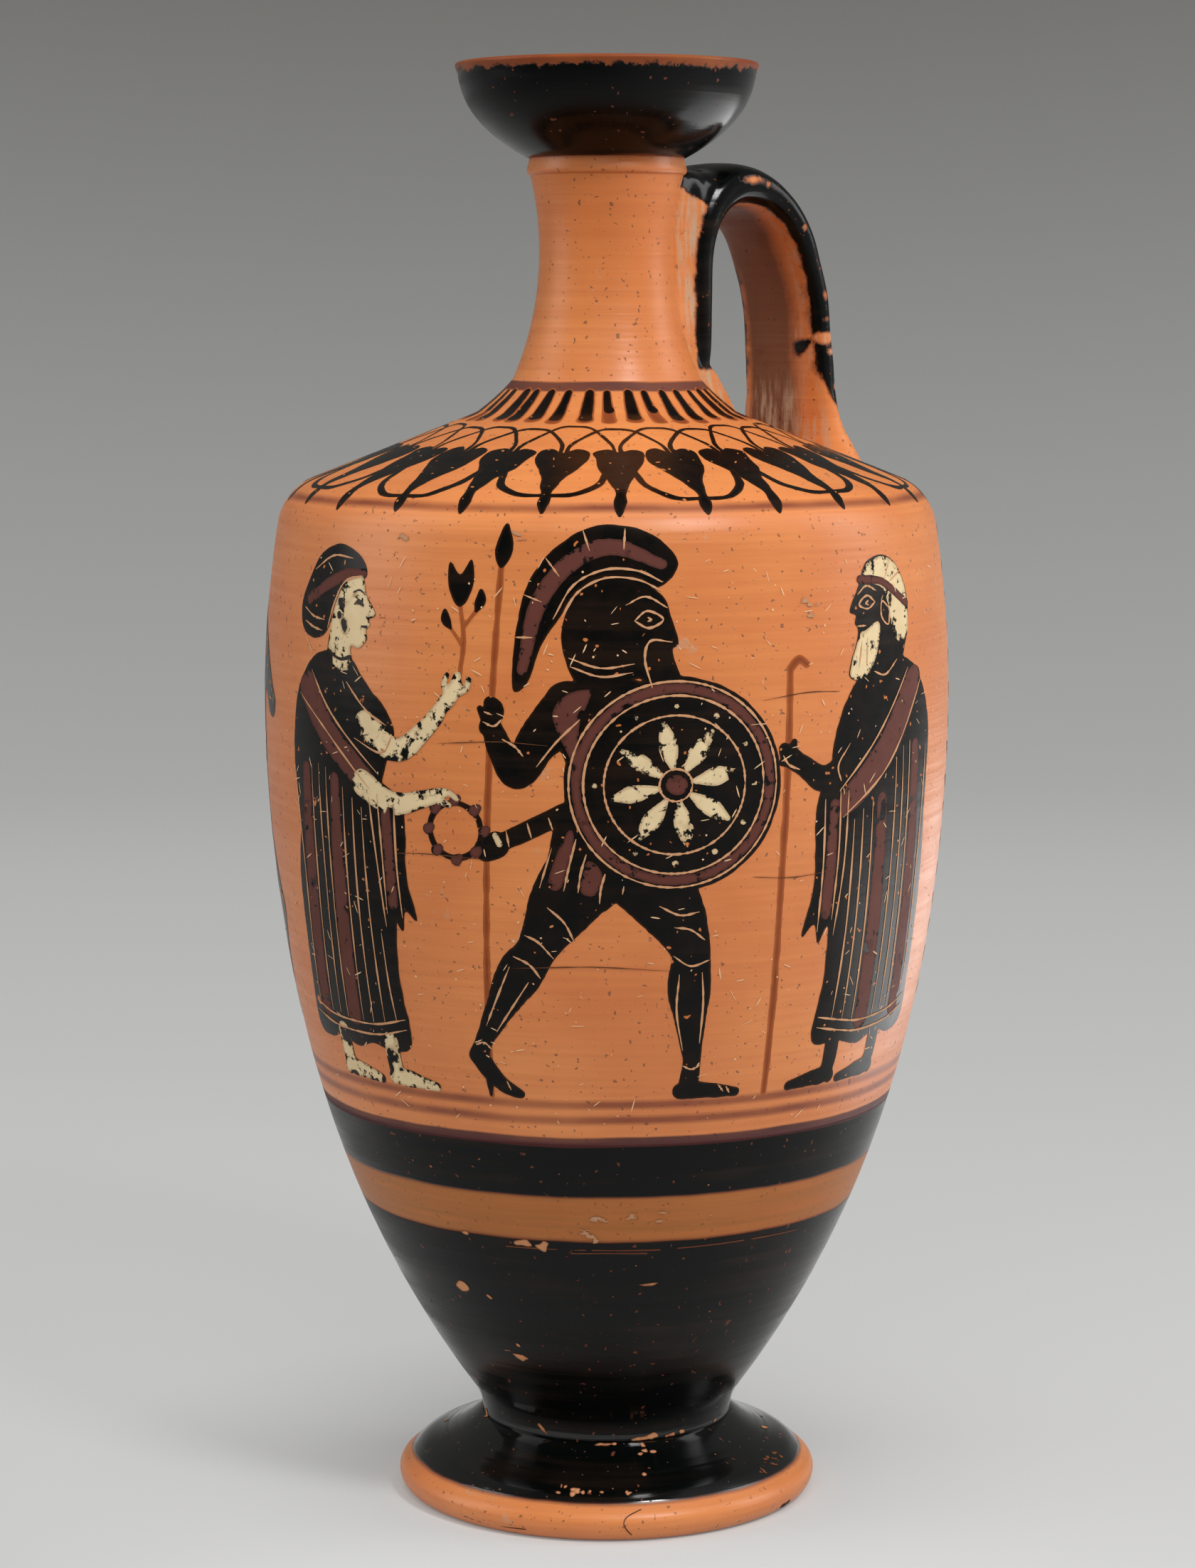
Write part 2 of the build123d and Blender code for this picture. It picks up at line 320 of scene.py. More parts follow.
gloss_group = black_gloss_group()
print("gloss nodes:", len(gloss_group.nodes))

# %% [markdown]
# ## Slip on clay, in bands
# While the pot turned on the wheel the painter held a brush to it, so black zones, the dull red lines
# and the brown dilute lines all run level. A band is therefore a range of heights. Each edge wanders a
# few tenths of a millimetre, as a hand-held brush does.

# %% Bands as ranges of heights
BODY_BANDS = {"black": [(0.0, 47.6), (55.0, 63.6)], "red": [(63.0, 64.5), (171.1, 172.5)],
              "brown": [(66.6, 67.8), (69.0, 70.2), (154.9, 155.9)], "stain": [(47.6, 55.0)], "wander": 0.3}


def band_mask(tree, height, bands, soft):
    """1 inside the bands, which are (low, high) heights in mm, with edges `soft` mm wide."""
    total = 0.0
    for low, high in bands:
        rise = add(tree, RANGE, {"Value": height, 1: low - soft / 2, 2: low + soft / 2})
        fall = add(tree, RANGE, {"Value": height, 1: high - soft / 2, 2: high + soft / 2, 3: 1.0, 4: 0.0})
        both = add(tree, MATH, {0: rise, 1: fall}, operation="MULTIPLY")
        total = add(tree, MATH, {0: total, 1: both}, operation="MAXIMUM")
    return total


def thin_coat(tree, colour, height, bands, soft, load, limits, code):
    """Bands of one thin colour, thinner where `load` is high; gives their mask and the coated colour."""
    mask = band_mask(tree, height, bands, soft)
    cover = add(tree, RANGE, {"Value": load, **dict(enumerate(limits, 1))})
    mask = add(tree, MATH, {0: mask, 1: cover}, operation="MULTIPLY")
    return mask, add(tree, MIX, {0: mask, 6: colour, 7: paint(code)}, data_type="RGBA")


print("bands on the body, mm:", BODY_BANDS)

# %% A material that bands clay with slip
def new_material(name):
    """A material with an empty tree; gives the material and its tree."""
    made = bpy.data.materials.new(name)
    made.use_nodes = True
    made.node_tree.nodes.clear()
    return made, made.node_tree


def close_material(tree, colour, rough, height, relief, specular):
    """The shader, its bump and the output."""
    bump = add(tree, "ShaderNodeBump", {"Height": height, "Distance": relief * MM, "Strength": 1.0})
    shader = add(tree, "ShaderNodeBsdfPrincipled", {
        "Base Color": colour, "Roughness": rough, "Normal": bump, "IOR": 1.5, "Specular IOR Level": specular})
    add(tree, "ShaderNodeOutputMaterial", {0: shader})


def handle_painted_shade_and_lime(tree, space, colour):
    """Painted shade inside the handle as a dark brown wash, and wiped lime that also paints light on the
    inner face's near edge; both where the mesh's own attributes ask for them.
    """
    # The wash attribute paints the shade on the strap's inner face, where neck and strap keep the light off.
    wash = add(tree, CARRIED, attribute_name="wash").outputs["Fac"]
    wash = add(tree, MATH, {0: wash, 1: 0.8}, operation="MULTIPLY")
    colour = add(tree, MIX, {0: wash, 6: colour, 7: paint("#4A2E20")}, data_type="RGBA")
    drawn = add(tree, VECTOR, {0: space, 1: (1.0, 1.0, 0.16)}, operation="MULTIPLY")
    wiped = add(tree, NOISE, {"Vector": drawn, "Scale": 1 / 1.3, "Detail": 6.0, "Roughness": 0.65})
    wiped = add(tree, RANGE, {"Value": wiped, 1: 0.46, 2: 0.64})
    lime = add(tree, CARRIED, attribute_name="lime").outputs["Fac"]
    lime = add(tree, MATH, {0: lime, 1: wiped}, operation="MULTIPLY")
    return add(tree, MIX, {0: lime, 6: colour, 7: paint("#B89C80")}, data_type="RGBA")


def banded_clay(name, black=(), red=(), brown=(), stain=(), attribute=None, wander=0.35, ragged=0.0,
                torn_above=-99.0, worn=False, specular=0.45, polish=0.0):
    """Clay with level bands of black gloss, dull red, dilute brown and a thin stain; heights in mm."""
    made, tree = new_material(name)
    space, _ = measured_space(tree)
    clay = add(tree, GROUP, node_tree=clay_group)
    gloss = add(tree, GROUP, node_tree=gloss_group)
    colour, rough, high = clay.outputs
    hand = add(tree, NOISE, {"Vector": space, "Scale": 1 / 14, "Detail": 3.0})
    drift = add(tree, RANGE, {"Value": hand, 3: -wander, 4: wander})
    if attribute:
        height = add(tree, CARRIED, attribute_name=attribute).outputs["Fac"]
    else:
        height = add(tree, "ShaderNodeSeparateXYZ", {0: space}).outputs[2]
    height = add(tree, MATH, {0: height, 1: drift}, operation="ADD")
    if ragged:
        tear = add(tree, NOISE, {"Vector": space, "Scale": 1 / 2.4, "Detail": 5.0, "Roughness": 0.7})
        tear = add(tree, RANGE, {"Value": tear, 1: 0.3, 2: 0.7, 3: -ragged, 4: ragged})
        torn = add(tree, RANGE, {"Value": height, 1: torn_above, 2: torn_above + 3.0})
        height = add(tree, MATH, {0: tear, 1: torn, 2: height}, operation="MULTIPLY_ADD")
    # For the handle: painted shade inside the strap, and the lime with its painted light.
    if worn:
        colour = handle_painted_shade_and_lime(tree, space, colour)
    if stain:
        _, colour = thin_coat(tree, colour, height, stain, 0.6, clay.outputs[2], (0.3, 0.7, 0.8, 0.5),
                              "#8C5A2F")
    if brown:
        _, colour = thin_coat(tree, colour, height, brown, 0.7, hand, (0.3, 0.7, 0.95, 0.55), "#77351D")
    if black:
        edge = band_mask(tree, height, [(low - 0.25, top + 0.25) for low, top in black], 0.5)
        colour = add(tree, MIX, {0: edge, 6: colour, 7: paint("#6B3520")}, data_type="RGBA")
        mask = band_mask(tree, height, black, 0.3)
        mask = add(tree, MATH, {0: mask, 1: gloss.outputs[3]}, operation="SUBTRACT", use_clamp=True)
        colour = add(tree, MIX, {0: mask, 6: colour, 7: gloss.outputs[0]}, data_type="RGBA")
        sheen = add(tree, MATH, {0: gloss.outputs[1], 1: polish}, operation="SUBTRACT")
        rough = add(tree, MIX, {0: mask, 2: rough, 3: sheen})
        raised = add(tree, MATH, {0: gloss.outputs[2], 1: 1.2}, operation="ADD")
        high = add(tree, MIX, {0: mask, 2: high, 3: raised})
    if red:
        mask, colour = thin_coat(tree, colour, height, red, 0.3, hand, (0.25, 0.6, 1.0, 0.88), "#4C2220")
        rough = add(tree, MIX, {0: mask, 2: rough, 3: 0.62})
    close_material(tree, colour, rough, high, 0.06, specular)
    return made


luting_finish = banded_clay("luting_clay_smeared")
print("nodes of clay without a band:", len(luting_finish.node_tree.nodes))

# %% Finishes of the turned parts
# How strongly each surface mirrors: the black on the wall and mouth, the foot's black, the neck.
GLOSS_SHINE, FOOT_SHINE, NECK_SHINE = 0.16, 0.5, 0.35
body_finish = banded_clay("burnished_clay_banded", **BODY_BANDS)
shank_finish = banded_clay("black_gloss_shank", **BODY_BANDS, specular=GLOSS_SHINE)
neck_finish = banded_clay("burnished_clay_neck", specular=NECK_SHINE)
# The brown at the mouth's foot, below its black, darkens the zone under the mouth's overhang: thin slip where
# the black ends, and painted shade.
mouth_finish = banded_clay("black_gloss_mouth", black=[(205.9, 218.6)],
                           brown=[(204.7, 206.3), (218.7, 230.0)], stain=[(218.2, 230.0)], wander=0.5,
                           ragged=0.75, torn_above=213.0, specular=GLOSS_SHINE)
foot_finish = banded_clay("black_gloss_foot", black=[(5.7, 30.0)], wander=0.3, specular=FOOT_SHINE,
                          polish=0.1)
print("clay and gloss materials ready")

# %% [markdown]
# ## Turned skins
# Each thrown part becomes a skin spun from its measured line: body, neck, mouth, foot and the rings
# of luting clay between them. A Screw modifier could spin them too; spinning in code keeps the poles
# and seams closed and puts the most rings where the paint needs a smooth wall.

# %% Meshes, objects and pieces
def new_mesh(name, verts, faces):
    """A smooth-shaded mesh from points in metres and faces."""
    mesh = bpy.data.meshes.new(name)
    mesh.from_pydata(verts, [], faces)
    mesh.shade_smooth()
    return mesh


def new_object(name, data):
    """An object in the scene, at the origin."""
    made = bpy.data.objects.new(name, data)
    bpy.context.scene.collection.objects.link(made)
    return made


def joined(name, shells):
    """One mesh from closed shells, each (points, faces), with its faces turned outward."""
    work = bmesh.new()
    for verts, faces in shells:
        part = new_mesh(name, verts, faces)
        work.from_mesh(part)
        bpy.data.meshes.remove(part)
    bmesh.ops.recalc_face_normals(work, faces=work.faces)
    mesh = bpy.data.meshes.new(name)
    work.to_mesh(mesh)
    work.free()
    return mesh


def lay(mesh, material, slot):
    """Makes a mesh a piece of the pot."""
    mesh.materials.clear()
    mesh.materials.append(material)
    made = new_object(mesh.name, mesh)
    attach(made, "root")
    return made


def make_piece(name, verts, faces, material, slot, nodes, sharp=32):
    """A closed piece that stands for solids of the frame; edges over `sharp` degrees stay sharp."""
    mesh = joined(name, [(verts, faces)])
    mesh.shade_smooth()
    mesh.set_sharp_from_angle(angle=math.radians(sharp))
    made = lay(mesh, material, slot)
    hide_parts(*nodes)
    return made


def spin(line, sides):
    """Vertices (metres) and faces of a line (radius, height in mm) spun round the axis."""
    turns = np.arange(sides) * 2 * math.pi / sides
    verts, rings, faces = [], [], []
    for radius, height in line:
        if radius < AXIS:
            rings.append([len(verts)] * sides)
            verts.append((0, 0, height * MM))
        else:
            rings.append(list(range(len(verts), len(verts) + sides)))
            verts += [(radius * math.cos(t) * MM, radius * math.sin(t) * MM, height * MM) for t in turns]
    loop = rings + rings[:1] if line[0][0] > AXIS else rings
    for low, high in zip(loop, loop[1:]):
        for i in range(sides):
            j = (i + 1) % sides
            corners = list(dict.fromkeys([low[i], low[j], high[j], high[i]]))
            if len(corners) > 2:
                faces.append(corners)
    return verts, faces


print("faces of the neck spun in 24 sides:", len(spin(sections["neck"], 24)[1]))

# %% Soften the lines where parts join
def bent(start, start_way, end_way, end, count=14):
    """Points of a curve that leaves `start` and reaches `end` along given ways."""
    t = np.linspace(0, 1, count)[:, None]
    a, b, c, d = (np.array(p) for p in (start, start_way, end_way, end))
    return (1 - t) ** 3 * a + 3 * t * (1 - t) ** 2 * (a + b) + 3 * t**2 * (1 - t) * (d - c) + t**3 * d


# A soft roll runs round the foot where the black ends.
FOOT_ROLL_AT, FOOT_ROLL_HALF, FOOT_ROLL_HIGH, FOOT_ROLL_FROM = 6.5, 1.3, 0.55, 25
FOOT_ROLL_WAY = [0.5, 0.86]
foot_line = faired(sections["foot"], 0.6)
roll = FOOT_ROLL_HIGH * np.exp(-(((foot_line[:, 1] - FOOT_ROLL_AT) / FOOT_ROLL_HALF) ** 2))
foot_line = foot_line + (roll * (foot_line[:, 0] > FOOT_ROLL_FROM))[:, None] * FOOT_ROLL_WAY

# Where body and foot meet, wet clay was smoothed on the wheel: the wall runs down tangent to a short stem,
# a crease marks the join, and a low roll spreads on to the foot.
foot_top = foot_line[int(np.argmax(foot_line[:, 0] > foot_line[:, 0].max() - 2)):]
foot_top = foot_top[: int(np.argmax(foot_top[:, 1] > foot_top[:, 1].max() - 0.02)) + 1]
JOIN_TOP = along_at_height(17.0)
join_start = np.array([np.interp(JOIN_TOP, wall_s, wall_r), np.interp(JOIN_TOP, wall_s, wall_z)])
join_way = np.array([np.interp(JOIN_TOP + 0.5, wall_s, c) - np.interp(JOIN_TOP - 0.5, wall_s, c)
                     for c in (wall_r, wall_z)])
ROLL_END = 23.4
roll_end = (ROLL_END, float(np.interp(-ROLL_END, -foot_top[:, 0], foot_top[:, 1])))
stem_line = bent(join_start, -2.3 * join_way, (-0.05, -1.6), (19.4, 11.95))
roll_line = bent((19.35, 11.8), (0.7, 0.0), (1.3, -0.75), roll_end, count=10)
join_back = [(ROLL_END - 0.6, roll_end[1] - 0.5), (17.6, 10.8), (join_start[0] - 1.0, join_start[1] - 0.6)]
join_line = np.vstack([stem_line, roll_line, join_back])

# Below the mouth a ridge was left standing: a soft roll with a crease under it.
ridge_low, ridge_high = (corner.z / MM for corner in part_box("mouth_luting_ring"))
ridge_r = sections["mouth_luting_ring"][:, 0].max()
ridge_swell = (ridge_r, ridge_low + 0.6)
ridge_line = np.vstack([
    bent((ridge_r - 0.75, ridge_low - 0.15), (0.55, 0.1), (0.0, 0.35), ridge_swell, count=8),
    bent(ridge_swell, (0.0, 0.35), (-0.05, 0.7), (ridge_r - 0.4, ridge_high + 0.1), count=8)[1:],
    [(ridge_r - 2.2, ridge_high), (ridge_r - 2.2, ridge_low)]])

# The brown on the ridge's top carries on that darker zone under the mouth: thin slip and painted shade.
ridge_finish = banded_clay("luting_clay_ridge", brown=[(ridge_high - 0.2, ridge_high + 3.0)], wander=0.5)

# The bowl of the mouth fills out a little between its foot and its lip.
mouth_line = faired(sections["mouth"], 0.6)
BOWL_LOW, BOWL_HIGH, BOWL_FULL = 205.6, 218.4, 1.0
bowl = np.clip((mouth_line[:, 1] - BOWL_LOW) / (BOWL_HIGH - BOWL_LOW), 0, 1)
mouth_line[:, 0] += BOWL_FULL * np.sin(math.pi * bowl) * (mouth_line[:, 0] > AXIS)

print("the join rises from %.1f to %.1f mm" % (join_line[:, 1].min(), join_line[:, 1].max()))

# %% Spin the turned parts
# The painted outside keeps its points close; the unseen inside needs fewer.
body_line = faired(sections["body"], 0.9)
body_top = int(np.argmax(body_line[:, 1]))
body_line = np.vstack([thinned(body_line[:body_top + 1], 0.7), thinned(body_line[body_top:], 2.5)[1:]])
turned_looks = {
    "body": (body_line, 288, body_finish, "clay"),
    "neck": (faired(sections["neck"], 0.8), 200, neck_finish, "clay"),
    "mouth": (mouth_line, 240, mouth_finish, "black_gloss"),
    "foot": (foot_line, 288, foot_finish, "black_gloss"),
    "mouth_luting_ring": (ridge_line, 200, ridge_finish, "luting_clay"),
    "neck_luting_ring": (faired(sections["neck_luting_ring"], 0.25), 200, luting_finish, "luting_clay"),
    "foot_luting_ring": (join_line, 240, foot_finish, "luting_clay"),
}
skins = {}
for node, (line, sides, finish, slot) in turned_looks.items():
    skins[node] = make_piece("skin_" + node, *spin(line, sides), finish, slot, nodes=[node])
    print(node, "faces:", len(skins[node].data.polygons))

# The lower body is nearly all gloss, so its faces take the glossier twin of the banded clay.
GLOSS_TOP = 63.3
skins["body"].data.materials.append(shank_finish)
for face in skins["body"].data.polygons:
    face.material_index = int(face.center.z < GLOSS_TOP * MM)

# %% [markdown]
# ## The strap handle
# The handle was pulled from one strip of clay: flat towards the opening, rounded outside, thickest at
# the bend beside the neck and spread wide at its root. A curve with a bevel would keep one section
# all along, so the strap is lofted from listed stations, each with its own thickness and width.

# %% Smooth lines through given points
def smooth(points, closed=False, steps=5):
    """A smooth line through given points; further numbers, such as a half width, are carried along."""
    p = np.array(points, float)
    if closed:
        ring = np.vstack([p[-1:], p, p[:2]])
    else:
        ring = np.vstack([2 * p[:1] - p[1:2], p, 2 * p[-1:] - p[-2:-1]])
    a, b, c, d = ring[:-3], ring[1:-2], ring[2:-1], ring[3:]
    t = (np.arange(steps) / steps)[:, None, None]
    line = 0.5 * (2 * b + (c - a) * t + (2 * a - 5 * b + 4 * c - d) * t**2 + (3 * b - a - 3 * c + d) * t**3)
    line = line.transpose(1, 0, 2).reshape(-1, p.shape[1])
    return line if closed else np.vstack([line, p[-1:]])


def blotches(x, y, size, seed):
    """Soft random patches about `size` mm across, from 0 to 1."""
    table = np.random.default_rng(seed).random((64, 64))
    total = 0
    for octave in range(3):
        gx, gy = x / size * 2**octave + 7.3 * octave, y / size * 2**octave + 3.1 * octave
        i, j = np.floor(gx).astype(int), np.floor(gy).astype(int)
        fx, fy = gx - i, gy - j
        fx, fy = fx * fx * (3 - 2 * fx), fy * fy * (3 - 2 * fy)
        low = table[i % 64, j % 64] * (1 - fx) + table[(i + 1) % 64, j % 64] * fx
        high = table[i % 64, (j + 1) % 64] * (1 - fx) + table[(i + 1) % 64, (j + 1) % 64] * fx
        total = total + (low * (1 - fy) + high * fy) / 2**octave
    return total / 1.75


print("points on a smooth line through three:", len(smooth([(0, 0), (1, 1), (2, 0)])))

# %% Loft the strap
# Each station: mm out from the axis, height, thickness, width, camber (how far the outer face falls
# away towards the edges, as a share of half the thickness).
STRAP = [(12.8, 172.4, 2.8, 15.0, 0.1), (12.6, 176.0, 3.6, 18.0, 0.1), (12.5, 184.0, 4.0, 18.6, 0.1),
         (12.7, 192.0, 4.4, 18.6, 0.1), (14.6, 198.0, 5.6, 18.6, 0.15), (18.2, 201.5, 6.6, 18.6, 0.2),
         (22.8, 202.3, 6.5, 18.6, 0.25), (27.8, 200.6, 5.6, 18.6, 0.25), (32.2, 196.2, 5.0, 18.6, 0.2),
         (35.2, 190.0, 4.6, 18.6, 0.2), (36.9, 183.0, 4.4, 18.6, 0.15), (37.6, 176.0, 4.4, 18.8, 0.15),
         (38.1, 170.0, 4.8, 19.2, 0.15), (38.7, 165.2, 6.2, 20.4, 0.2), (39.7, 161.2, 9.2, 22.6, 0.3),
         (40.8, 157.6, 12.0, 25.0, 0.4)]
STRAP_SIDES = 56
stations = smooth(STRAP, steps=8)
strap_way = np.gradient(stations[:, :2], axis=0)
strap_way /= np.hypot(strap_way[:, 0], strap_way[:, 1])[:, None]


def strap_loft():
    """Closed rings of the strap, in mm."""
    turns = np.arange(STRAP_SIDES) * 2 * math.pi / STRAP_SIDES
    across = np.sign(np.cos(turns)) * np.abs(np.cos(turns)) ** 0.42
    rise = np.sign(np.sin(turns)) * np.abs(np.sin(turns)) ** 0.62
    verts = []
    for k, ((out, height, thick, wide, camber), (wy, wz)) in enumerate(zip(stations, strap_way)):
        lump = 0.3 * (blotches(across * 6 + 20, np.full(STRAP_SIDES, k * 0.9), 5, 4) - 0.5)
        level = rise * thick / 2 * np.where(rise > 0, 1 - camber * across**2, 1 - 0.1 * across**2) + lump
        verts += list(zip(across * wide / 2 + lump / 2, out - level * wz, height + level * wy))
    rows = len(stations)
    faces = [[k * STRAP_SIDES + i, k * STRAP_SIDES + (i + 1) % STRAP_SIDES,
              (k + 1) * STRAP_SIDES + (i + 1) % STRAP_SIDES, (k + 1) * STRAP_SIDES + i]
             for k in range(rows - 1) for i in range(STRAP_SIDES)]
    faces += [list(range(STRAP_SIDES))[::-1], [(rows - 1) * STRAP_SIDES + i for i in range(STRAP_SIDES)]]
    return [tuple(c * MM for c in v) for v in verts], faces


strap_verts, strap_faces = strap_loft()
print("strap faces:", len(strap_faces))

# %% [markdown]
# ## Luting clay at the handle
# Wet clay was pressed into the corner between strap and neck and round the root, then wiped with a
# finger. Each level of the fillet gets a cross-section that starts on the neck, bends out to the strap's
# edge and crosses behind it. A voxel remesh then melts strap and fillet into one wiped surface, which a
# boolean would leave with a hard crease.

# %% Fillet between strap and neck
neck_r, neck_z = faired(sections["neck"], 0.5).T
upper = wall_s > along_at_height(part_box("handle_shoulder_luting")[0].z / MM)


def neck_radius(height):
    """Outer radius of neck and collar at a height, mm."""
    if height < neck_z.min():
        return float(np.interp(height, wall_z, wall_r))
    if height > neck_z.max() - 0.4:
        return ridge_r - 0.3
    return float(neck_r[np.abs(neck_z - height) < 0.4].max())


def shoulder_height(radius):
    """Height of the shoulder at a radius, mm."""
    return np.interp(-radius, -wall_r[upper], wall_z[upper])


def closed_sheet(front, back):
    """Verts and faces of a closed shell between two equal grids of points."""
    rows, cols = front.shape[:2]
    verts = np.concatenate([front.reshape(-1, 3), back.reshape(-1, 3)]) * MM
    faces, shift = [], rows * cols
    for i in range(rows - 1):
        for j in range(cols - 1):
            a, b = i * cols + j, (i + 1) * cols + j
            faces += [[a, a + 1, b + 1, b], [a + shift, b + shift, b + 1 + shift, a + 1 + shift]]
    rim = [i * cols for i in range(rows)] + [(rows - 1) * cols + j for j in range(1, cols)]
    rim += [i * cols + cols - 1 for i in range(rows - 2, -1, -1)] + list(range(cols - 2, 0, -1))
    for a, b in zip(rim, rim[1:] + rim[:1]):
        faces.append([a, b, b + shift, a + shift])
    return [tuple(v) for v in verts], faces


# Height, mm out to the fillet's front, half width at the front, half angle where it leaves the neck.
FILLET = [(165.8, 24.2, 3.0, 16), (167.2, 23.0, 5.0, 24), (169.4, 20.2, 6.5, 33), (171.6, 17.9, 7.4, 40),
          (173.6, 16.0, 7.9, 46), (175.2, 13.8, 8.1, 49), (178.0, 12.6, 8.3, 52), (188.0, 12.4, 8.4, 52),
          (195.0, 13.2, 8.5, 52), (199.0, 17.0, 8.6, 52), (201.6, 19.0, 8.4, 50), (203.0, 19.4, 7.4, 46),
          (203.9, 19.4, 5.8, 38), (204.4, 19.2, 3.6, 24)]
FILLET_LEVELS, FLANK, CAP = 84, 22, 9
ACROSS = 2 * FLANK + CAP
heights = np.linspace(FILLET[0][0], FILLET[-1][0], FILLET_LEVELS)
levels = np.column_stack([np.interp(heights, *np.array(FILLET)[:, [0, k]].T) for k in (1, 2, 3)])
grid = np.zeros((FILLET_LEVELS, ACROSS, 3))
for i, (height, (front, half, turn)) in enumerate(zip(heights, levels)):
    radius = neck_radius(height) - 0.15
    turn = math.radians(turn)
    t = np.linspace(0, 1, FLANK)[:, None]
    start = np.array([radius * math.sin(turn), radius * math.cos(turn)])
    end = np.array([half, front - 0.5])
    bend = np.array([0.45 * start[0] + 0.55 * half - 0.5, 0.62 * start[1] + 0.38 * front])
    flank = (1 - t) ** 2 * start + 2 * t * (1 - t) * bend + t**2 * end
    lumps = blotches(flank[:, 1] * 1.5 + 40, np.full(FLANK, height / 4), 3, 8) - 0.5
    flank[:, 0] += 0.5 * lumps * np.sin(math.pi * t[:, 0])
    cap = np.column_stack([np.linspace(half, -half, CAP + 2)[1:-1], np.full(CAP, front)])
    level = np.vstack([flank, cap, (flank * [-1, 1])[::-1]])
    grid[i] = np.column_stack([level, np.full(ACROSS, height)])
core = grid.copy()
core[:, :, :2] *= 0.82
fillet_verts, fillet_faces = closed_sheet(grid, core)
print("fillet levels:", len(heights))

# %% Melt strap and fillet together
def melted(shells, voxel, wipes):
    """One smooth mesh from overlapping closed shells, as wet clay runs together."""
    holder = new_object("melt", joined("melt", shells))
    merge = holder.modifiers.new("merge", "REMESH")
    merge.mode, merge.voxel_size = "VOXEL", voxel * MM
    wipe = holder.modifiers.new("wipe", "SMOOTH")
    wipe.factor, wipe.iterations = 0.5, wipes
    done = bpy.data.meshes.new_from_object(holder.evaluated_get(bpy.context.evaluated_depsgraph_get()))
    bpy.data.objects.remove(holder)
    verts = np.empty(len(done.vertices) * 3)
    done.vertices.foreach_get("co", verts)
    return verts.reshape(-1, 3), [list(face.vertices) for face in done.polygons]


VOXEL, WIPES = 0.4, 16
verts, faces = melted([(strap_verts, strap_faces), (fillet_verts, fillet_faces)], VOXEL, WIPES)
print("melted faces:", len(faces))

# %% Black on the handle's outside and edges, clay inside
# `slip` tells mm inside the black, negative on bare clay; `leg` is the part that runs up along the neck.
x, y, z = np.array(verts).T / MM
near = np.argmin((y[:, None] - stations[:, 0]) ** 2 + (z[:, None] - stations[:, 1]) ** 2, axis=1)
out_k, height_k, thick_k, wide_k = stations[near, :4].T
level = -(y - out_k) * strap_way[near, 1] + (z - height_k) * strap_way[near, 0]
ripple = 1.3 * (blotches(x + 2 * y + 90, z + 60, 3.0, 6) - 0.5)
# The black covers the outer face and runs over the side edges, furthest on the near edge of the crown.
crown = np.maximum(0, 1 - np.abs(out_k - 22) / 12) * (height_k > 185)
side = np.abs(x) - wide_k / 2 + 0.5 + (0.9 + 1.3 * crown) * (x > 0)
slip = np.maximum(level + 0.32 * thick_k, side) + 0.4 * ripple
# Towards the root it draws back to the outer face: heights, and mm from the strap's middle where it starts.
ROOT_CUT = [(163.0, 9.0), (165.4, 3.0), (167.3, 1.4), (169.0, 0.2), (170.6, -0.5), (172.0, -1.0),
            (175.0, -1.6), (180.0, -2.2), (183.0, -9.0)]
root_edge = level - np.interp(z, *np.array(ROOT_CUT).T) + 0.5 * ripple
slip = np.where(out_k > 30, np.minimum(slip, root_edge), slip)
# Along the neck only the side edges are black, and all that lies above a slanting line at the top.
leg = (out_k < 17) & (height_k < 199.5)
edge_line = np.minimum(np.minimum(np.abs(x) - 6.9, 1.7 - level), z - 174.4) + 0.3 * ripple
slip = np.where(leg, np.maximum(edge_line, z - 200.3 + 0.5 * (y - 10.5) + ripple), slip)
# Chips on the near edge: place, half height and half width, mm.
STRAP_CHIPS = [(9.0, 21.6, 202.9, 0.8, 2.3), (9.0, 24.7, 202.3, 0.5, 0.6), (9.0, 32.4, 195.9, 0.7, 0.5),
               (9.0, 36.8, 185.3, 0.8, 0.6), (9.0, 37.2, 181.7, 0.8, 0.9), (8.6, 37.0, 179.0, 1.1, 2.6),
               (9.0, 38.2, 176.6, 0.6, 0.8), (9.0, 39.4, 171.2, 0.6, 0.7)]
bared = np.zeros(len(x))
for cx, cy, cz, rise_by, wide_by in STRAP_CHIPS:
    reach = np.sqrt(((x - cx) / 3.0) ** 2 + ((y - cy) / wide_by) ** 2 + ((z - cz) / rise_by) ** 2)
    slip = np.minimum(slip, (reach - 1 + 0.7 * ripple) * min(rise_by, wide_by))
    bared = np.maximum(bared, np.clip(2.2 - reach, 0, 0.9))
# One slip of the brush lies on the inner face, a slanting dab that thins out towards the edge.
dab_long = (0.89 * (x - 5.4) + 0.46 * (z - 177.4)) / 1.9
dab_wide = (0.89 * (z - 177.4) - 0.46 * (x - 5.4)) / (0.9 * np.clip(1 - 0.45 * dab_long, 0.3, 1.5))
dab = np.sqrt(dab_long**2 + dab_wide**2 + ((y - 35.6) / 1.6) ** 2)
slip = np.maximum(slip, 0.8 - 0.8 * dab + 0.3 * ripple)
print("black share of the handle:", round(float((slip > 0).mean()), 2))

# %% Painted shade and lime on the handle
# A dark brown wash paints the shade on the inner face, where neck and strap keep the light off; it stops
# short of the lit near edge. Wiped lime lies in the corner with the neck, low on the inner face, along its
# near edge and in the chips; along that near edge the paler clay is painted light.
inner = np.clip(-level / thick_k * 5 - 1, 0, 1) * ~leg
far_edge = np.maximum(np.clip((z - 184) / 6, 0, 1), np.clip((x + 7.7 + 0.6 * ripple) / 1.4, 0, 1))
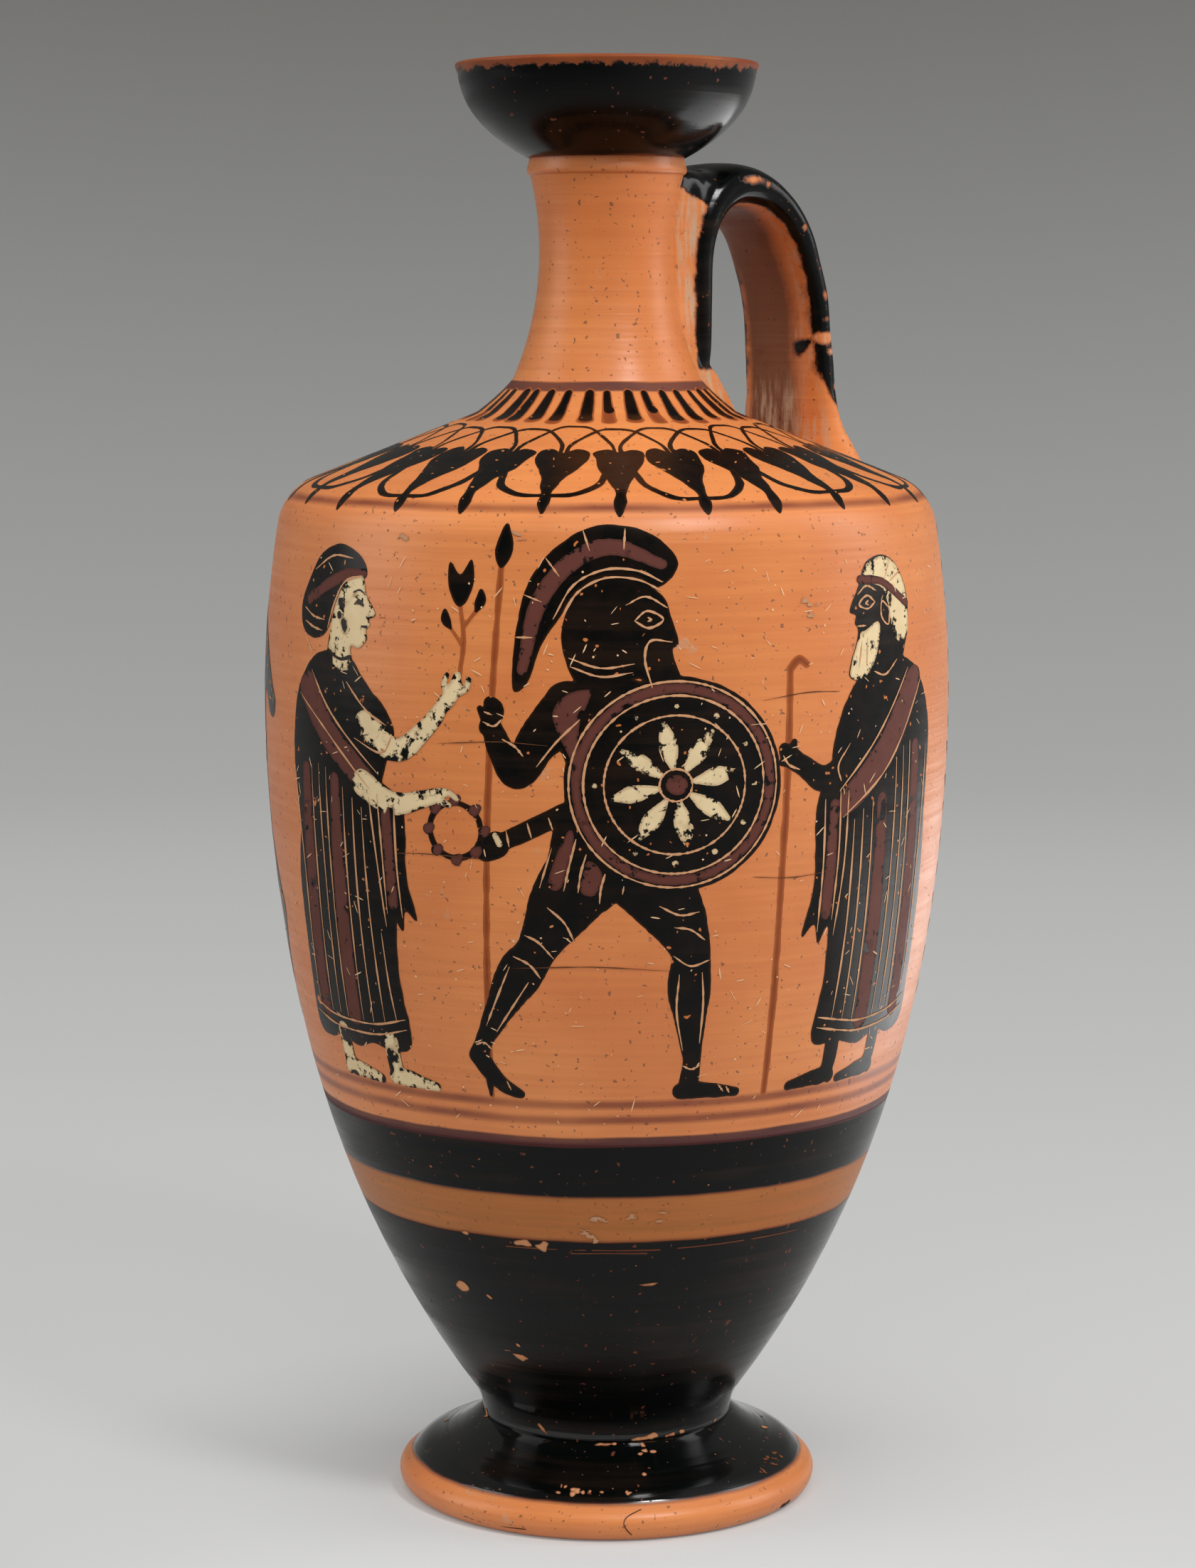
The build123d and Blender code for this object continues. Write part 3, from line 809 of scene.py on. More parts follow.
# Painted shade: the wash darkens the inner face, fading off its lit near edge and low down.
wash = inner * far_edge * np.clip((5.6 - x + ripple) / 3.4, 0, 1) * np.clip((z - 158) / 6, 0.25, 1)
lime = np.where(leg, np.clip(level - 1.0, 0, 1) * 0.85, inner * np.clip((174 - z) / 6, 0, 1) * 0.8)
lime = np.maximum(lime, np.clip((176.5 - z) / 3, 0, 0.9) * leg)
# Paler clay along the inner face's near edge is painted light; the chips bare pale clay.
lime = np.maximum(np.maximum(lime, inner * np.clip((x - 4.0) / 2, 0, 1) * 0.5), bared)
# worn=True brings the painted shade and the lime into the handle's finish.
handle_finish = banded_clay("black_gloss_handle", black=[(0.0, 99.0)], attribute="slip", wander=0.3,
                            ragged=0.3, worn=True, specular=GLOSS_SHINE)
strap = make_piece("strap_handle", [tuple(v) for v in verts], faces, handle_finish, "black_gloss",
                   nodes=["handle", "handle_neck_luting"], sharp=70)
for label, values in (("slip", slip), ("wash", wash), ("lime", lime)):
    strap.data.attributes.new(label, "FLOAT", "POINT").data.foreach_set("value", values)
print("handle faces:", len(strap.data.polygons))

# %% Smear round the handle's root
ROOT_OUT, SMEAR_WIDE, SMEAR_DEEP, SMEAR_HIGH, SMEAR_THICK = 38.6, 14.0, 8.4, 1.3, 1.2
reach = np.linspace(0.02, 1, 16)[:, None]
turns = np.linspace(0, 2 * math.pi, 73)[None, :]
ragged = 1 + 0.16 * (blotches(np.cos(turns) * 4 + 9, np.sin(turns) * 4 + 9, 2.5, 5) - 0.5)
x = reach * SMEAR_WIDE * ragged * np.cos(turns)
y = ROOT_OUT + reach * SMEAR_DEEP * ragged * np.sin(turns)
top = shoulder_height(np.hypot(x, y)) + SMEAR_HIGH * (1 - reach**2) ** 1.4 - 0.1
smear = np.stack([x, y, top], axis=2)
root = make_piece("root_smear", *closed_sheet(smear, smear - [0, 0, SMEAR_THICK]), luting_finish,
                  "luting_clay", nodes=["handle_shoulder_luting"], sharp=60)
print("root smear faces:", len(root.data.polygons))

# %% [markdown]
# ## A brush that leaves a skin of paint
# Slip painting has crisp, slightly swollen edges, so each painted layer here is a thin skin of its own,
# a few hundredths of a millimetre above the clay. Shapes are drawn flat, in millimetres, as brush
# strokes (a line with a half width at each point) and filled areas. The nearest edge is measured on a
# fine grid, and the grid is cut along the edge, so strokes that meet flow together as wet slip does.

# %% Strokes and areas on a grid
def brush(*points):
    """A stroke: (x, y, half width) points, mm."""
    return "brush", points


def area(*points):
    """A filled shape: (x, y) points of its outline, mm."""
    return "area", points


def edge_distance(kind, line, x, y):
    """How far grid points lie outside a stroke or area; negative inside, mm."""
    best = np.full(x.shape, 99.0)
    inside = np.zeros(x.shape, bool)
    after = line[1:] if kind == "brush" else np.roll(line, -1, 0)
    for p, q in zip(line, after):
        dx, dy = q[0] - p[0], q[1] - p[1]
        t = np.clip(((x - p[0]) * dx + (y - p[1]) * dy) / (dx * dx + dy * dy + 1e-9), 0, 1)
        gap = np.hypot(x - p[0] - t * dx, y - p[1] - t * dy)
        if kind == "brush":
            gap = gap - (p[2] + t * (q[2] - p[2]))
        elif dy:
            inside ^= ((p[1] <= y) != (q[1] <= y)) & (x < p[0] + (y - p[1]) * dx / dy)
        best = np.minimum(best, gap)
    return np.where(inside, -best, best)


def painted_grid(shapes, cell, ripple, wear, grain, seed):
    """The grid lines, and the distance to the nearest painted edge at each crossing."""
    lines = [(kind, smooth(points, kind == "area")) for kind, points in shapes]
    spread = [line[:, 2].max() + 1 if kind == "brush" else 1.0 for kind, line in lines]
    low = np.min([line[:, :2].min(0) - pad for (_, line), pad in zip(lines, spread)], axis=0)
    high = np.max([line[:, :2].max(0) + pad for (_, line), pad in zip(lines, spread)], axis=0)
    xs, ys = (np.arange(low[k], high[k] + cell, cell) for k in (0, 1))
    field = np.full((len(xs), len(ys)), 2.0)
    for (kind, line), pad in zip(lines, spread):
        i, k = np.searchsorted(xs, [line[:, 0].min() - pad, line[:, 0].max() + pad])
        j, m = np.searchsorted(ys, [line[:, 1].min() - pad, line[:, 1].max() + pad])
        x, y = np.meshgrid(xs[i:k], ys[j:m], indexing="ij")
        field[i:k, j:m] = np.minimum(field[i:k, j:m], edge_distance(kind, line, x, y))
    x, y = np.meshgrid(xs, ys, indexing="ij")
    field += ripple * (blotches(x + 200, y + 200, 2.2, seed) - 0.5)
    if wear:
        field = np.maximum(field, (blotches(x + 90, y + 90, grain, seed + 50) - 1 + wear) * 6)
    return xs, ys, field


sample_dab = painted_grid([brush((0, 0, 1), (0.1, 0, 1))], 0.3, 0.0, 0.0, 1.0, 1)
print("grid of a dab 2 mm wide:", sample_dab[2].shape)

# %% Cut the grid to a skin of paint
def cut_skin(xs, ys, field):
    """Flat points (x, y, mm inside the edge) and faces of the painted part of a grid."""
    inside = field < 0
    spots, known, faces = [], {}, []

    def spot(a, b=None):
        """A grid crossing, or the place between two crossings where the edge runs."""
        if (a, b) not in known:
            known[(a, b)] = len(spots)
            t = field[a] / (field[a] - field[b]) if b else 0.0
            end = b or a
            spots.append((xs[a[0]] + t * (xs[end[0]] - xs[a[0]]), ys[a[1]] + t * (ys[end[1]] - ys[a[1]]),
                          0.0 if t else -field[a]))
        return known[(a, b)]

    touched = inside[:-1, :-1] | inside[1:, :-1] | inside[1:, 1:] | inside[:-1, 1:]
    for i, j in np.argwhere(touched).tolist():
        ring = [(i, j), (i + 1, j), (i + 1, j + 1), (i, j + 1)]
        face = []
        for a, b in zip(ring, ring[1:] + ring[:1]):
            if inside[a]:
                face.append(spot(a))
            if inside[a] != inside[b]:
                face.append(spot(min(a, b), max(a, b)))
        if len(face) > 2:
            faces.append(face)
    return np.array(spots), faces


def paint_mesh(name, shapes, place, lift, cell=0.35, ripple=0.3, wear=0.0, grain=3.0, seed=1):
    """A skin of paint laid on the pot by `place`, with its distance to the edge kept as `edge`."""
    spots, faces = cut_skin(*painted_grid(shapes, cell, ripple, wear, grain, seed))
    mesh = new_mesh(name, place(spots[:, 0], spots[:, 1], lift), faces)
    mesh.attributes.new("edge", "FLOAT", "POINT").data.foreach_set("value", spots[:, 2])
    return mesh


print("faces of the dab:", len(cut_skin(*sample_dab)[1]))

# %% [markdown]
# ## The paints
# Black slip goes brown along its edges, where the brush left it thin. Added red is iron-rich clay, dull
# and flat over the black. Added white is a pale clay, cream, matt and worn. Dilute slip is honey
# brown, thin enough for the clay to show. A scratched line bares the pale clay under the black.

# %% Paint materials
def slip_material(name, thin, full, reach, rough, wear=True, rubbed=0.0):
    """Paint that goes from its thin colour at the edge to its full colour `reach` mm inside."""
    made, tree = new_material(name)
    space, _ = measured_space(tree)
    clay = add(tree, GROUP, node_tree=clay_group)
    gloss = add(tree, GROUP, node_tree=gloss_group)
    edge = add(tree, CARRIED, attribute_name="edge").outputs["Fac"]
    cloud = add(tree, NOISE, {"Vector": space, "Scale": 1 / 3.2, "Detail": 4.0})
    patch = add(tree, RANGE, {"Value": cloud, 1: 0.3, 2: 0.7, 3: -0.1, 4: 0.1})
    depth = add(tree, MATH, {0: edge, 1: patch}, operation="ADD")
    load = add(tree, RANGE, {"Value": depth, 1: 0.0, 2: reach})
    inner = gloss.outputs[0] if full is None else paint(full)
    colour = add(tree, MIX, {0: load, 6: paint(thin), 7: inner}, data_type="RGBA")
    thin_patches = add(tree, RANGE, {"Value": cloud, 1: 0.35, 2: 0.75, 3: 0.0, 4: 0.3})
    colour = add(tree, MIX, {0: thin_patches, 6: colour, 7: paint(thin)}, data_type="RGBA")
    if rubbed:
        nap = add(tree, NOISE, {"Vector": space, "Scale": 1 / 1.5, "Detail": 5.0, "Roughness": 0.7})
        rim = add(tree, RANGE, {"Value": edge, 2: 0.7, 3: 0.07, 4: -0.02})
        nap = add(tree, MATH, {0: nap, 1: rim}, operation="ADD")
        nap = add(tree, RANGE, {"Value": nap, 1: 0.66 - rubbed, 2: 0.7 - rubbed})
        colour = add(tree, MIX, {0: nap, 6: colour, 7: gloss.outputs[0]}, data_type="RGBA")
    if wear:
        colour = add(tree, MIX, {0: gloss.outputs[3], 6: colour, 7: clay.outputs[0]}, data_type="RGBA")
    level = add(tree, RANGE, {"Value": cloud, 3: rough - 0.08, 4: rough + 0.08})
    close_material(tree, colour, level, gloss.outputs[2], 0.03, GLOSS_SHINE)
    return made


black_slip = slip_material("black_slip_brushed", "#2A170D", None, 0.35, 0.27)
red_paint = slip_material("added_red_ochre", "#4A2720", "#5F352D", 0.4, 0.6, wear=False, rubbed=0.06)
white_paint = slip_material("added_white_clay", "#B99D78", "#DCC69C", 0.5, 0.72, wear=False, rubbed=0.1)
brown_wash = slip_material("dilute_slip_wash", "#A6592C", "#7A3A1D", 0.45, 0.45, wear=False)
bare_line = slip_material("scratched_pale_clay", "#C39069", "#D2A47C", 0.3, 0.7, wear=False)
print("paints ready")

# %% [markdown]
# ## Tongues and lotus buds on the shoulder
# Round the neck run brushed tongues, and below them a chain of lotus buds with their stems looping
# overhead. They repeat round the axis, so a few differently brushed samples are set round it by
# Geometry Nodes, which turns each one, lets its place wander a little and leaves room for the handle.

# %% Geometry Nodes: set samples round the axis
FRONT = math.radians(-40.0)


def close_tree(tree, placed, finish):
    """The end of both trees: instances made real, then their material and the output."""
    solid = add(tree, "GeometryNodeRealizeInstances", {0: placed})
    coated = add(tree, "GeometryNodeSetMaterial", {"Geometry": solid, "Material": finish})
    add(tree, "NodeGroupOutput", {0: coated})


def ring_tree():
    """Picks samples from a collection and sets them round the axis, with a gap at the handle."""
    tree = new_tree("set_round_the_axis", "GeometryNodeTree", outputs=[("Geometry", SHAPE)], inputs=[
        ("Samples", "NodeSocketCollection"), ("Count", WHOLE), ("First", NUMBER), ("Wander", NUMBER),
        ("Gap", NUMBER), ("Kinds", WHOLE), ("Seed", WHOLE), ("Finish", FINISH)])
    given = add(tree, "NodeGroupInput").outputs
    index = add(tree, "GeometryNodeInputIndex")
    share = add(tree, MATH, {0: index, 1: given["Count"]}, operation="DIVIDE")
    turn = add(tree, MATH, {0: share, 1: 2 * math.pi, 2: given["First"]}, operation="MULTIPLY_ADD")
    stray = add(tree, RANDOM, {2: -1.0, 3: 1.0, "ID": index, "Seed": given["Seed"]})
    turn = add(tree, MATH, {0: stray, 1: given["Wander"], 2: turn}, operation="MULTIPLY_ADD")
    away = add(tree, MATH, {0: turn, 1: -math.pi / 2}, operation="ADD")
    away = add(tree, MATH, {0: away, 1: math.pi, 2: -math.pi}, operation="WRAP")
    away = add(tree, MATH, {0: away}, operation="ABSOLUTE")
    keep = add(tree, MATH, {0: away, 1: given["Gap"]}, operation="GREATER_THAN")
    kind = add(tree, RANDOM, {4: 0, 5: given["Kinds"], "ID": index, "Seed": given["Seed"]}, data_type="INT")
    samples = add(tree, "GeometryNodeCollectionInfo",
                  {"Collection": given["Samples"], "Separate Children": True})
    points = add(tree, "GeometryNodePoints", {"Count": given["Count"]})
    placed = add(tree, "GeometryNodeInstanceOnPoints", {
        "Points": points, "Selection": keep, "Instance": samples, "Pick Instance": True,
        "Instance Index": kind, "Rotation": add(tree, JOIN, {2: turn})})
    close_tree(tree, placed, given["Finish"])
    return tree


axis_ring = ring_tree()
print("ring tree nodes:", len(axis_ring.nodes))

# %% Run a tree and lay the tongues at the foot of the neck
def run_tree(name, tree, values, start=None):
    """Runs a Geometry Nodes tree on a start mesh and gives the plain mesh it makes."""
    holder = new_object(name, start or bpy.data.meshes.new(name))
    nodes = holder.modifiers.new("nodes", "NODES")
    nodes.node_group = tree
    for item in tree.interface.items_tree:
        if item.in_out == "INPUT" and item.name in values:
            nodes[item.identifier] = values[item.name]
    mesh = bpy.data.meshes.new_from_object(holder.evaluated_get(bpy.context.evaluated_depsgraph_get()))
    mesh.name = name
    bpy.data.objects.remove(holder)
    return mesh


def set_round(name, samples, finish, slot, **values):
    """Sets sample meshes round the axis as one piece."""
    group = bpy.data.collections.new(name + "_samples")
    for sample in samples:
        group.objects.link(bpy.data.objects.new(sample.name, sample))
    mesh = run_tree(name, axis_ring,
                    {"Samples": group, "Kinds": len(samples) - 1, "Finish": finish, **values})
    for sample in list(group.objects):
        bpy.data.objects.remove(sample)
    bpy.data.collections.remove(group)
    return lay(mesh, finish, slot)


EDGE_LINE = along_at_height(155.4)
TONGUE_RADIUS = 18.5


def on_shoulder(radius):
    """Lays flat mm on the shoulder: x round the axis at `radius`, y up the slope from the edge line."""
    return lambda x, y, lift: on_wall(x / radius, EDGE_LINE + y, lift)


# Each tongue: half width, height of its foot, lean, and how far above the foot its black stops.
TONGUES = [(0.9, 29.0, 0.1, 0.7), (0.8, 28.5, -0.2, 1.2), (1.05, 29.3, 0.15, 0.7), (0.75, 28.6, 0.3, 3.6),
           (0.7, 29.6, -0.1, 0.7), (0.95, 29.2, 0.0, 1.0)]
TONGUE_TOP, TONGUE_MIDDLE = 35.9, 33.0
tongues, washes = [], []
for k, (half, foot, lean_by, short) in enumerate(TONGUES):
    stroke = brush((0, TONGUE_TOP, half * 0.75), (lean_by * 0.5, TONGUE_MIDDLE, half * 0.9),
                   (lean_by, foot + short, half * 1.02))
    wash = brush((0, TONGUE_TOP, half), (lean_by * 0.5, TONGUE_MIDDLE, half + 0.15),
                 (lean_by, foot + 0.2, half + 0.25))
    tongues.append(paint_mesh("tongue_%d" % k, [stroke], on_shoulder(TONGUE_RADIUS), 0.05, cell=0.2, seed=k))
    washes.append(paint_mesh("tongue_wash_%d" % k, [wash], on_shoulder(TONGUE_RADIUS), 0.03, cell=0.25,
                             seed=k))
ring = {"Count": 36, "First": FRONT, "Wander": 0.025, "Gap": 0.42, "Seed": 5}
set_round("tongue_washes", washes, brown_wash, "clay", **ring)
strokes = set_round("tongue_strokes", tongues, black_slip, "black_gloss", **ring)
print("tongue faces:", len(strokes.data.polygons))

# %% The chain of lotus buds
BUD_RADIUS, BUD_PAIRS = 38.0, 13
STEP = 2 * math.pi * BUD_RADIUS / BUD_PAIRS / 2


def lotus_bud(x, rng):
    """A heart-shaped bud with its stalk running down over the edge line."""
    half = [(0.0, 17.2), (2.0, 18.5), (4.1, 17.4), (4.2, 14.6), (3.0, 11.4), (1.7, 8.2), (1.05, 5.4),
            (0.6, 3.0), (0.72, 0.8), (0.0, -1.2)]
    outline = half + [(-px, py) for px, py in half[-2:0:-1]]
    lean_by = rng.uniform(-0.5, 0.5)
    return area(*[(x + px * rng.uniform(0.86, 1.12) + lean_by * (10 - py) / 10, py + rng.uniform(-0.3, 0.3))
                  for px, py in outline])


def bud_pair(seed):
    """Two buds, the stems looping over their neighbours, and the loop below the second one."""
    rng = np.random.default_rng(seed)
    shapes = [lotus_bud(0.0, rng), lotus_bud(STEP, rng)]
    for x, top in ((0.0, 26.6), (STEP, 25.8)):
        top += rng.uniform(-0.5, 0.5)
        shapes.append(brush((x + 0.5, 16.4, 0.5), (x + 0.9, 20.4, 0.42), (x + 5.2, top - 0.8, 0.38),
                            (x + STEP, top, 0.34), (x + 2 * STEP - 5.0, top - 0.9, 0.36),
                            (x + 2 * STEP - 1.2, 20.6, 0.36), (x + 2 * STEP - 0.5, 17.0, 0.42)))
    low = 2.2 + rng.uniform(-0.4, 0.4)
    shapes.append(brush((2.0, 10.5, 0.4), (3.0, 5.6, 0.52), (5.8, low + 0.3, 0.46), (STEP, low, 0.38),
                        (2 * STEP - 5.6, low + 0.4, 0.46), (2 * STEP - 3.0, 5.8, 0.56),
                        (2 * STEP - 1.9, 10.6, 0.42)))
    return shapes


pairs = [paint_mesh("bud_pair_%d" % k, bud_pair(k), on_shoulder(BUD_RADIUS), 0.035 + 0.004 * k, cell=0.22,
                    seed=k) for k in range(4)]
ring = {"Count": BUD_PAIRS, "First": FRONT + 0.05, "Wander": 0.0, "Gap": 0.5, "Seed": 3}
chain = set_round("lotus_bud_chain", pairs, black_slip, "black_gloss", **ring)
print("bud chain faces:", len(chain.data.polygons))

# %% [markdown]
# ## The picture frieze
# The wall carries a picture zone in black silhouettes, with red and white added and details scratched.
# The figures here are stock ones drawn for this flask: a woman with a flower and a wreath, a warrior with
# a round shield, an old man with a staff, and a rider. Each is a few strokes and outlines in millimetres
# from a point on the ground line, and its layers go on in the painter's order.

# %% Lay figures on the wall
FRIEZE_RADIUS = 50.5
GROUND = along_at_height(70.0)
LIFTS = {"wash": 0.03, "black": 0.05, "red": 0.068, "white": 0.082, "fillet": 0.096, "ink": 0.096,
         "line": 0.11}
PAINTS = {"wash": (brown_wash, "clay"), "black": (black_slip, "black_gloss"),
          "red": (red_paint, "black_gloss"), "white": (white_paint, "black_gloss"),
          "fillet": (red_paint, "black_gloss"), "ink": (black_slip, "black_gloss")}


def on_frieze(x, y, lift):
    """Lays flat mm on the wall: x round it from the middle of the photographed side, y up it."""
    return on_wall(FRONT + x / FRIEZE_RADIUS, GROUND + y, lift)


def moved(points, x, flip):
    """Given points moved along the frieze, and turned to face left if asked."""
    return [((-p[0] if flip else p[0]) + x, *p[1:]) for p in points]


def scratch_mesh(name, lines, width=0.31, seed=1):
    """Ribbons for scratched lines, uneven in width and fading at the ends."""
    rng = np.random.default_rng(seed)
    verts, faces, depth = [], [], []
    for points in lines:
        line = smooth(points, steps=6)
        way = np.gradient(line, axis=0)
        way /= np.hypot(way[:, 0], way[:, 1])[:, None] + 1e-9
        fade = np.minimum(1, np.minimum(np.arange(len(line)), np.arange(len(line))[::-1]) * 0.3 + 0.3)
        half = (width / 2 * fade * rng.uniform(0.55, 1.35, len(line)))[:, None]
        side = np.column_stack([-way[:, 1], way[:, 0]]) * half
        first = len(verts)
        verts += [p for pair in zip(line - side, line + side) for p in pair]
        lefts = [first + 2 * k for k in range(len(line) - 1)]
        faces += [[left, left + 2, left + 3, left + 1] for left in lefts]
    flat = np.array(verts)
    return new_mesh(name, on_frieze(flat[:, 0], flat[:, 1], LIFTS["line"]), faces)


def lay_figure(name, x, flip=False, seed=1, **layers):
    """Lays one figure's layers: wash, black, red, white, red fillet, ink and scratched lines."""
    for layer, shapes in layers.items():
        label = name + "_" + layer
        if layer == "line":
            lay(scratch_mesh(label, [moved(line, x, flip) for line in shapes], seed=seed), bare_line, "clay")
            continue
        placed = [(kind, moved(points, x, flip)) for kind, points in shapes]
        wear = {"white": 0.3, "red": 0.22}.get(layer, 0.0)
        mesh = paint_mesh(label, placed, on_frieze, LIFTS[layer], wear=wear, seed=seed, cell=0.3)
        lay(mesh, *PAINTS[layer])
    print(name, "laid at", x, "mm")


def circle(x, y, radius, start=0, stop=360, step=12):
    """Points on a circle, mm."""
    return [(x + radius * math.cos(math.radians(a)), y + radius * math.sin(math.radians(a)))
            for a in np.arange(start, stop + 1, step)]


print("picture zone: %.1f mm of wall above the ground line" % (EDGE_LINE - GROUND))

# %% Woman with a flower and a wreath
FOOT = [(0, 7.2, 1.6), (0.1, 3.4, 1.55), (0.9, 1.9, 1.5), (4, 1.5, 1.2), (8.2, 0.9, 0.7)]
HEEL = [(0.2, 2.6, 1.3), (-0.6, 1.5, 1.1)]
woman_feet = [brush(*moved(part, x, False)) for x in (6.4, -5.4) for part in (FOOT, HEEL)]
woman_face = area((5, 75.6), (5.9, 73.2), (7.9, 70.4), (6.6, 69.7), (6.9, 68.8), (6.2, 68.1), (6.4, 66.6),
                  (4.9, 65.4), (3.2, 65.4), (3.4, 62), (-1.8, 63), (-1.6, 67.4), (-0.7, 71.4), (1.2, 74.4),
                  (3.2, 75.6))
woman_arms = [brush((6.4, 54.6, 2), (12.2, 51.2, 1.75), (17.4, 55, 1.35), (20.4, 58.8, 0.95)),
              brush((20.2, 58.4, 1.15), (21.6, 60.4, 1.05), (22, 62.4, 0.55)),
              brush((21.2, 59.6, 0.6), (23.2, 60.4, 0.5), (23.7, 61.8, 0.4)),
              brush((21, 59.4, 0.6), (20, 61, 0.45), (20.4, 62.4, 0.35)),
              brush((5.6, 46, 2), (11, 43.4, 1.75), (16.2, 44.4, 1.3), (18.6, 45, 1.15)),
              brush((18.4, 45, 1.1), (20.4, 45.6, 0.6), (21.8, 44.8, 0.45)),
              brush((18.6, 44.6, 0.8), (20.6, 43.8, 0.45))]
lay_figure(
    "woman", -43, seed=11,
    wash=[brush((22, 60.6, 0.4), (22.8, 67, 0.35), (22, 73, 0.35)), brush((22.6, 69, 0.3), (24.6, 71.6, 0.3)),
          brush((22.8, 66.4, 0.3), (20.8, 69, 0.3))],
    black=[area((-1.8, 64.8), (-6.6, 62.6), (-10.2, 57), (-11.4, 48), (-10.4, 39), (-12.2, 31), (-13, 18),
                (-14, 7.4), (-10, 5.8), (-6, 6.6), (-2, 5.4), (2.4, 6.4), (6.4, 5.6), (10.8, 7.4), (10, 18),
                (10.6, 29), (9.6, 38), (8.8, 44), (10.6, 51), (9.4, 57), (5.4, 61.6), (3.2, 63.8)),
           area((5.6, 75.6), (4.2, 78.6), (-0.6, 80.2), (-5.2, 78.6), (-7.8, 75), (-9.8, 71.2), (-8.8, 67.4),
                (-5.4, 66.2), (-2.2, 67.6), (-0.8, 71.6), (1.2, 74.4)),
           area((2, 61), (8.6, 58.6), (11.8, 53.6), (9.4, 50.2), (4, 52)),
           area((7, 46.4), (11.2, 45.2), (13.2, 41.6), (13, 33), (14.4, 26.4), (12.4, 27.6), (11.6, 24.6),
                (10, 26.6), (8.6, 23.8), (7.6, 30), (6.6, 40)), woman_face, *woman_arms, *woman_feet,
           area((22, 72), (20.2, 74.8), (20.2, 78.4), (21.9, 76.6), (23.6, 78.8), (24, 75)),
           brush((24.6, 71.6, 0.3), (25.2, 73, 0.8), (25.2, 74.4, 0.3)),
           brush((20.8, 69, 0.3), (20, 70.2, 0.75), (19.8, 71.4, 0.3)),
           brush(*[(*p, 0.45) for p in circle(21.4, 40.2, 4, step=30)])],
    red=[brush((5, 76.2, 0.7), (0, 75.4, 0.9), (-7.4, 71.8, 0.85)),
         area((-9, 58.6), (-5.8, 61.2), (-1, 55), (8.4, 46.6), (7.4, 43.6), (-2.4, 50.4)),
         brush((-7.6, 47, 1), (-8.4, 30, 1.5), (-9.8, 10.6, 1.6)),
         brush((-0.4, 46, 1), (-0.8, 30, 1.5), (-1.4, 10.4, 1.6)),
         brush((9.8, 42.4, 0.8), (10, 34, 1), (10.2, 28.6, 0.9)),
         *[brush((px, py, 0.85), (px + 0.5, py + 0.4, 0.6))
           for px, py in circle(21.4, 40.2, 4.3, 0, 330, 45)]],
    white=[woman_face, *woman_arms, *woman_feet],
    ink=[brush((3.5, 71.6, 0.2), (4.5, 72, 0.48), (5.5, 71.5, 0.22)),
         brush((3, 73.2, 0.18), (4.5, 73.7, 0.22), (5.8, 73, 0.18)),
         brush((5.2, 68.5, 0.16), (6.3, 68.5, 0.2)),
         brush((-1.6, 64.6, 0.28), (1, 63.6, 0.28), (3.2, 64, 0.28)),
         brush((0.4, 70, 0.5), (0.5, 69.8, 0.5))],
    line=[[(-9, 58), (-1.8, 52.8), (7, 45.2)], [(-5.8, 61.6), (-0.6, 55.4), (8.8, 47.4)],
          [(-11, 46), (-10.2, 31), (-11.6, 10.8)], [(-6, 47.6), (-6.4, 30), (-7.6, 10.2)],
          [(-4.2, 48), (-4.2, 30), (-5.2, 10.2)], [(-2.4, 47.6), (-2.6, 30), (-3.2, 9.8)],
          [(1.4, 45), (1.2, 28), (0.8, 9.8)], [(3.4, 43.6), (3.2, 28), (3.2, 9.8)],
          [(5.2, 42.4), (5.4, 26), (5.8, 9.8)], [(7.4, 24), (7.8, 16), (8.4, 10.4)],
          [(-13.2, 9.6), (-8, 8.2), (-2, 7.8), (4, 8), (10.2, 9.4)],
          [(-13.2, 11.2), (-8, 9.8), (-2, 9.4), (4, 9.6), (10.2, 11)],
          [(-2.2, 67.8), (-0.8, 71.8), (1.2, 74.8), (4.8, 75.8)], [(-6.4, 76.2), (-2, 78.4), (2.6, 78.2)],
          [(-8.6, 70.6), (-6, 69.4), (-3, 69)], [(-8.2, 68.6), (-5.8, 67.8), (-3.4, 67.4)],
          [(4.2, 52.4), (9.4, 50.6), (11.4, 53.2)], [(2.6, 60.4), (6.6, 56.6), (10.4, 54.6)],
          [(6.8, 44), (7.8, 34), (8.6, 25)], [(8.4, 44.6), (8.8, 36), (9, 27)],
          [(11.4, 43.6), (11.4, 34), (11.8, 26.6)]])

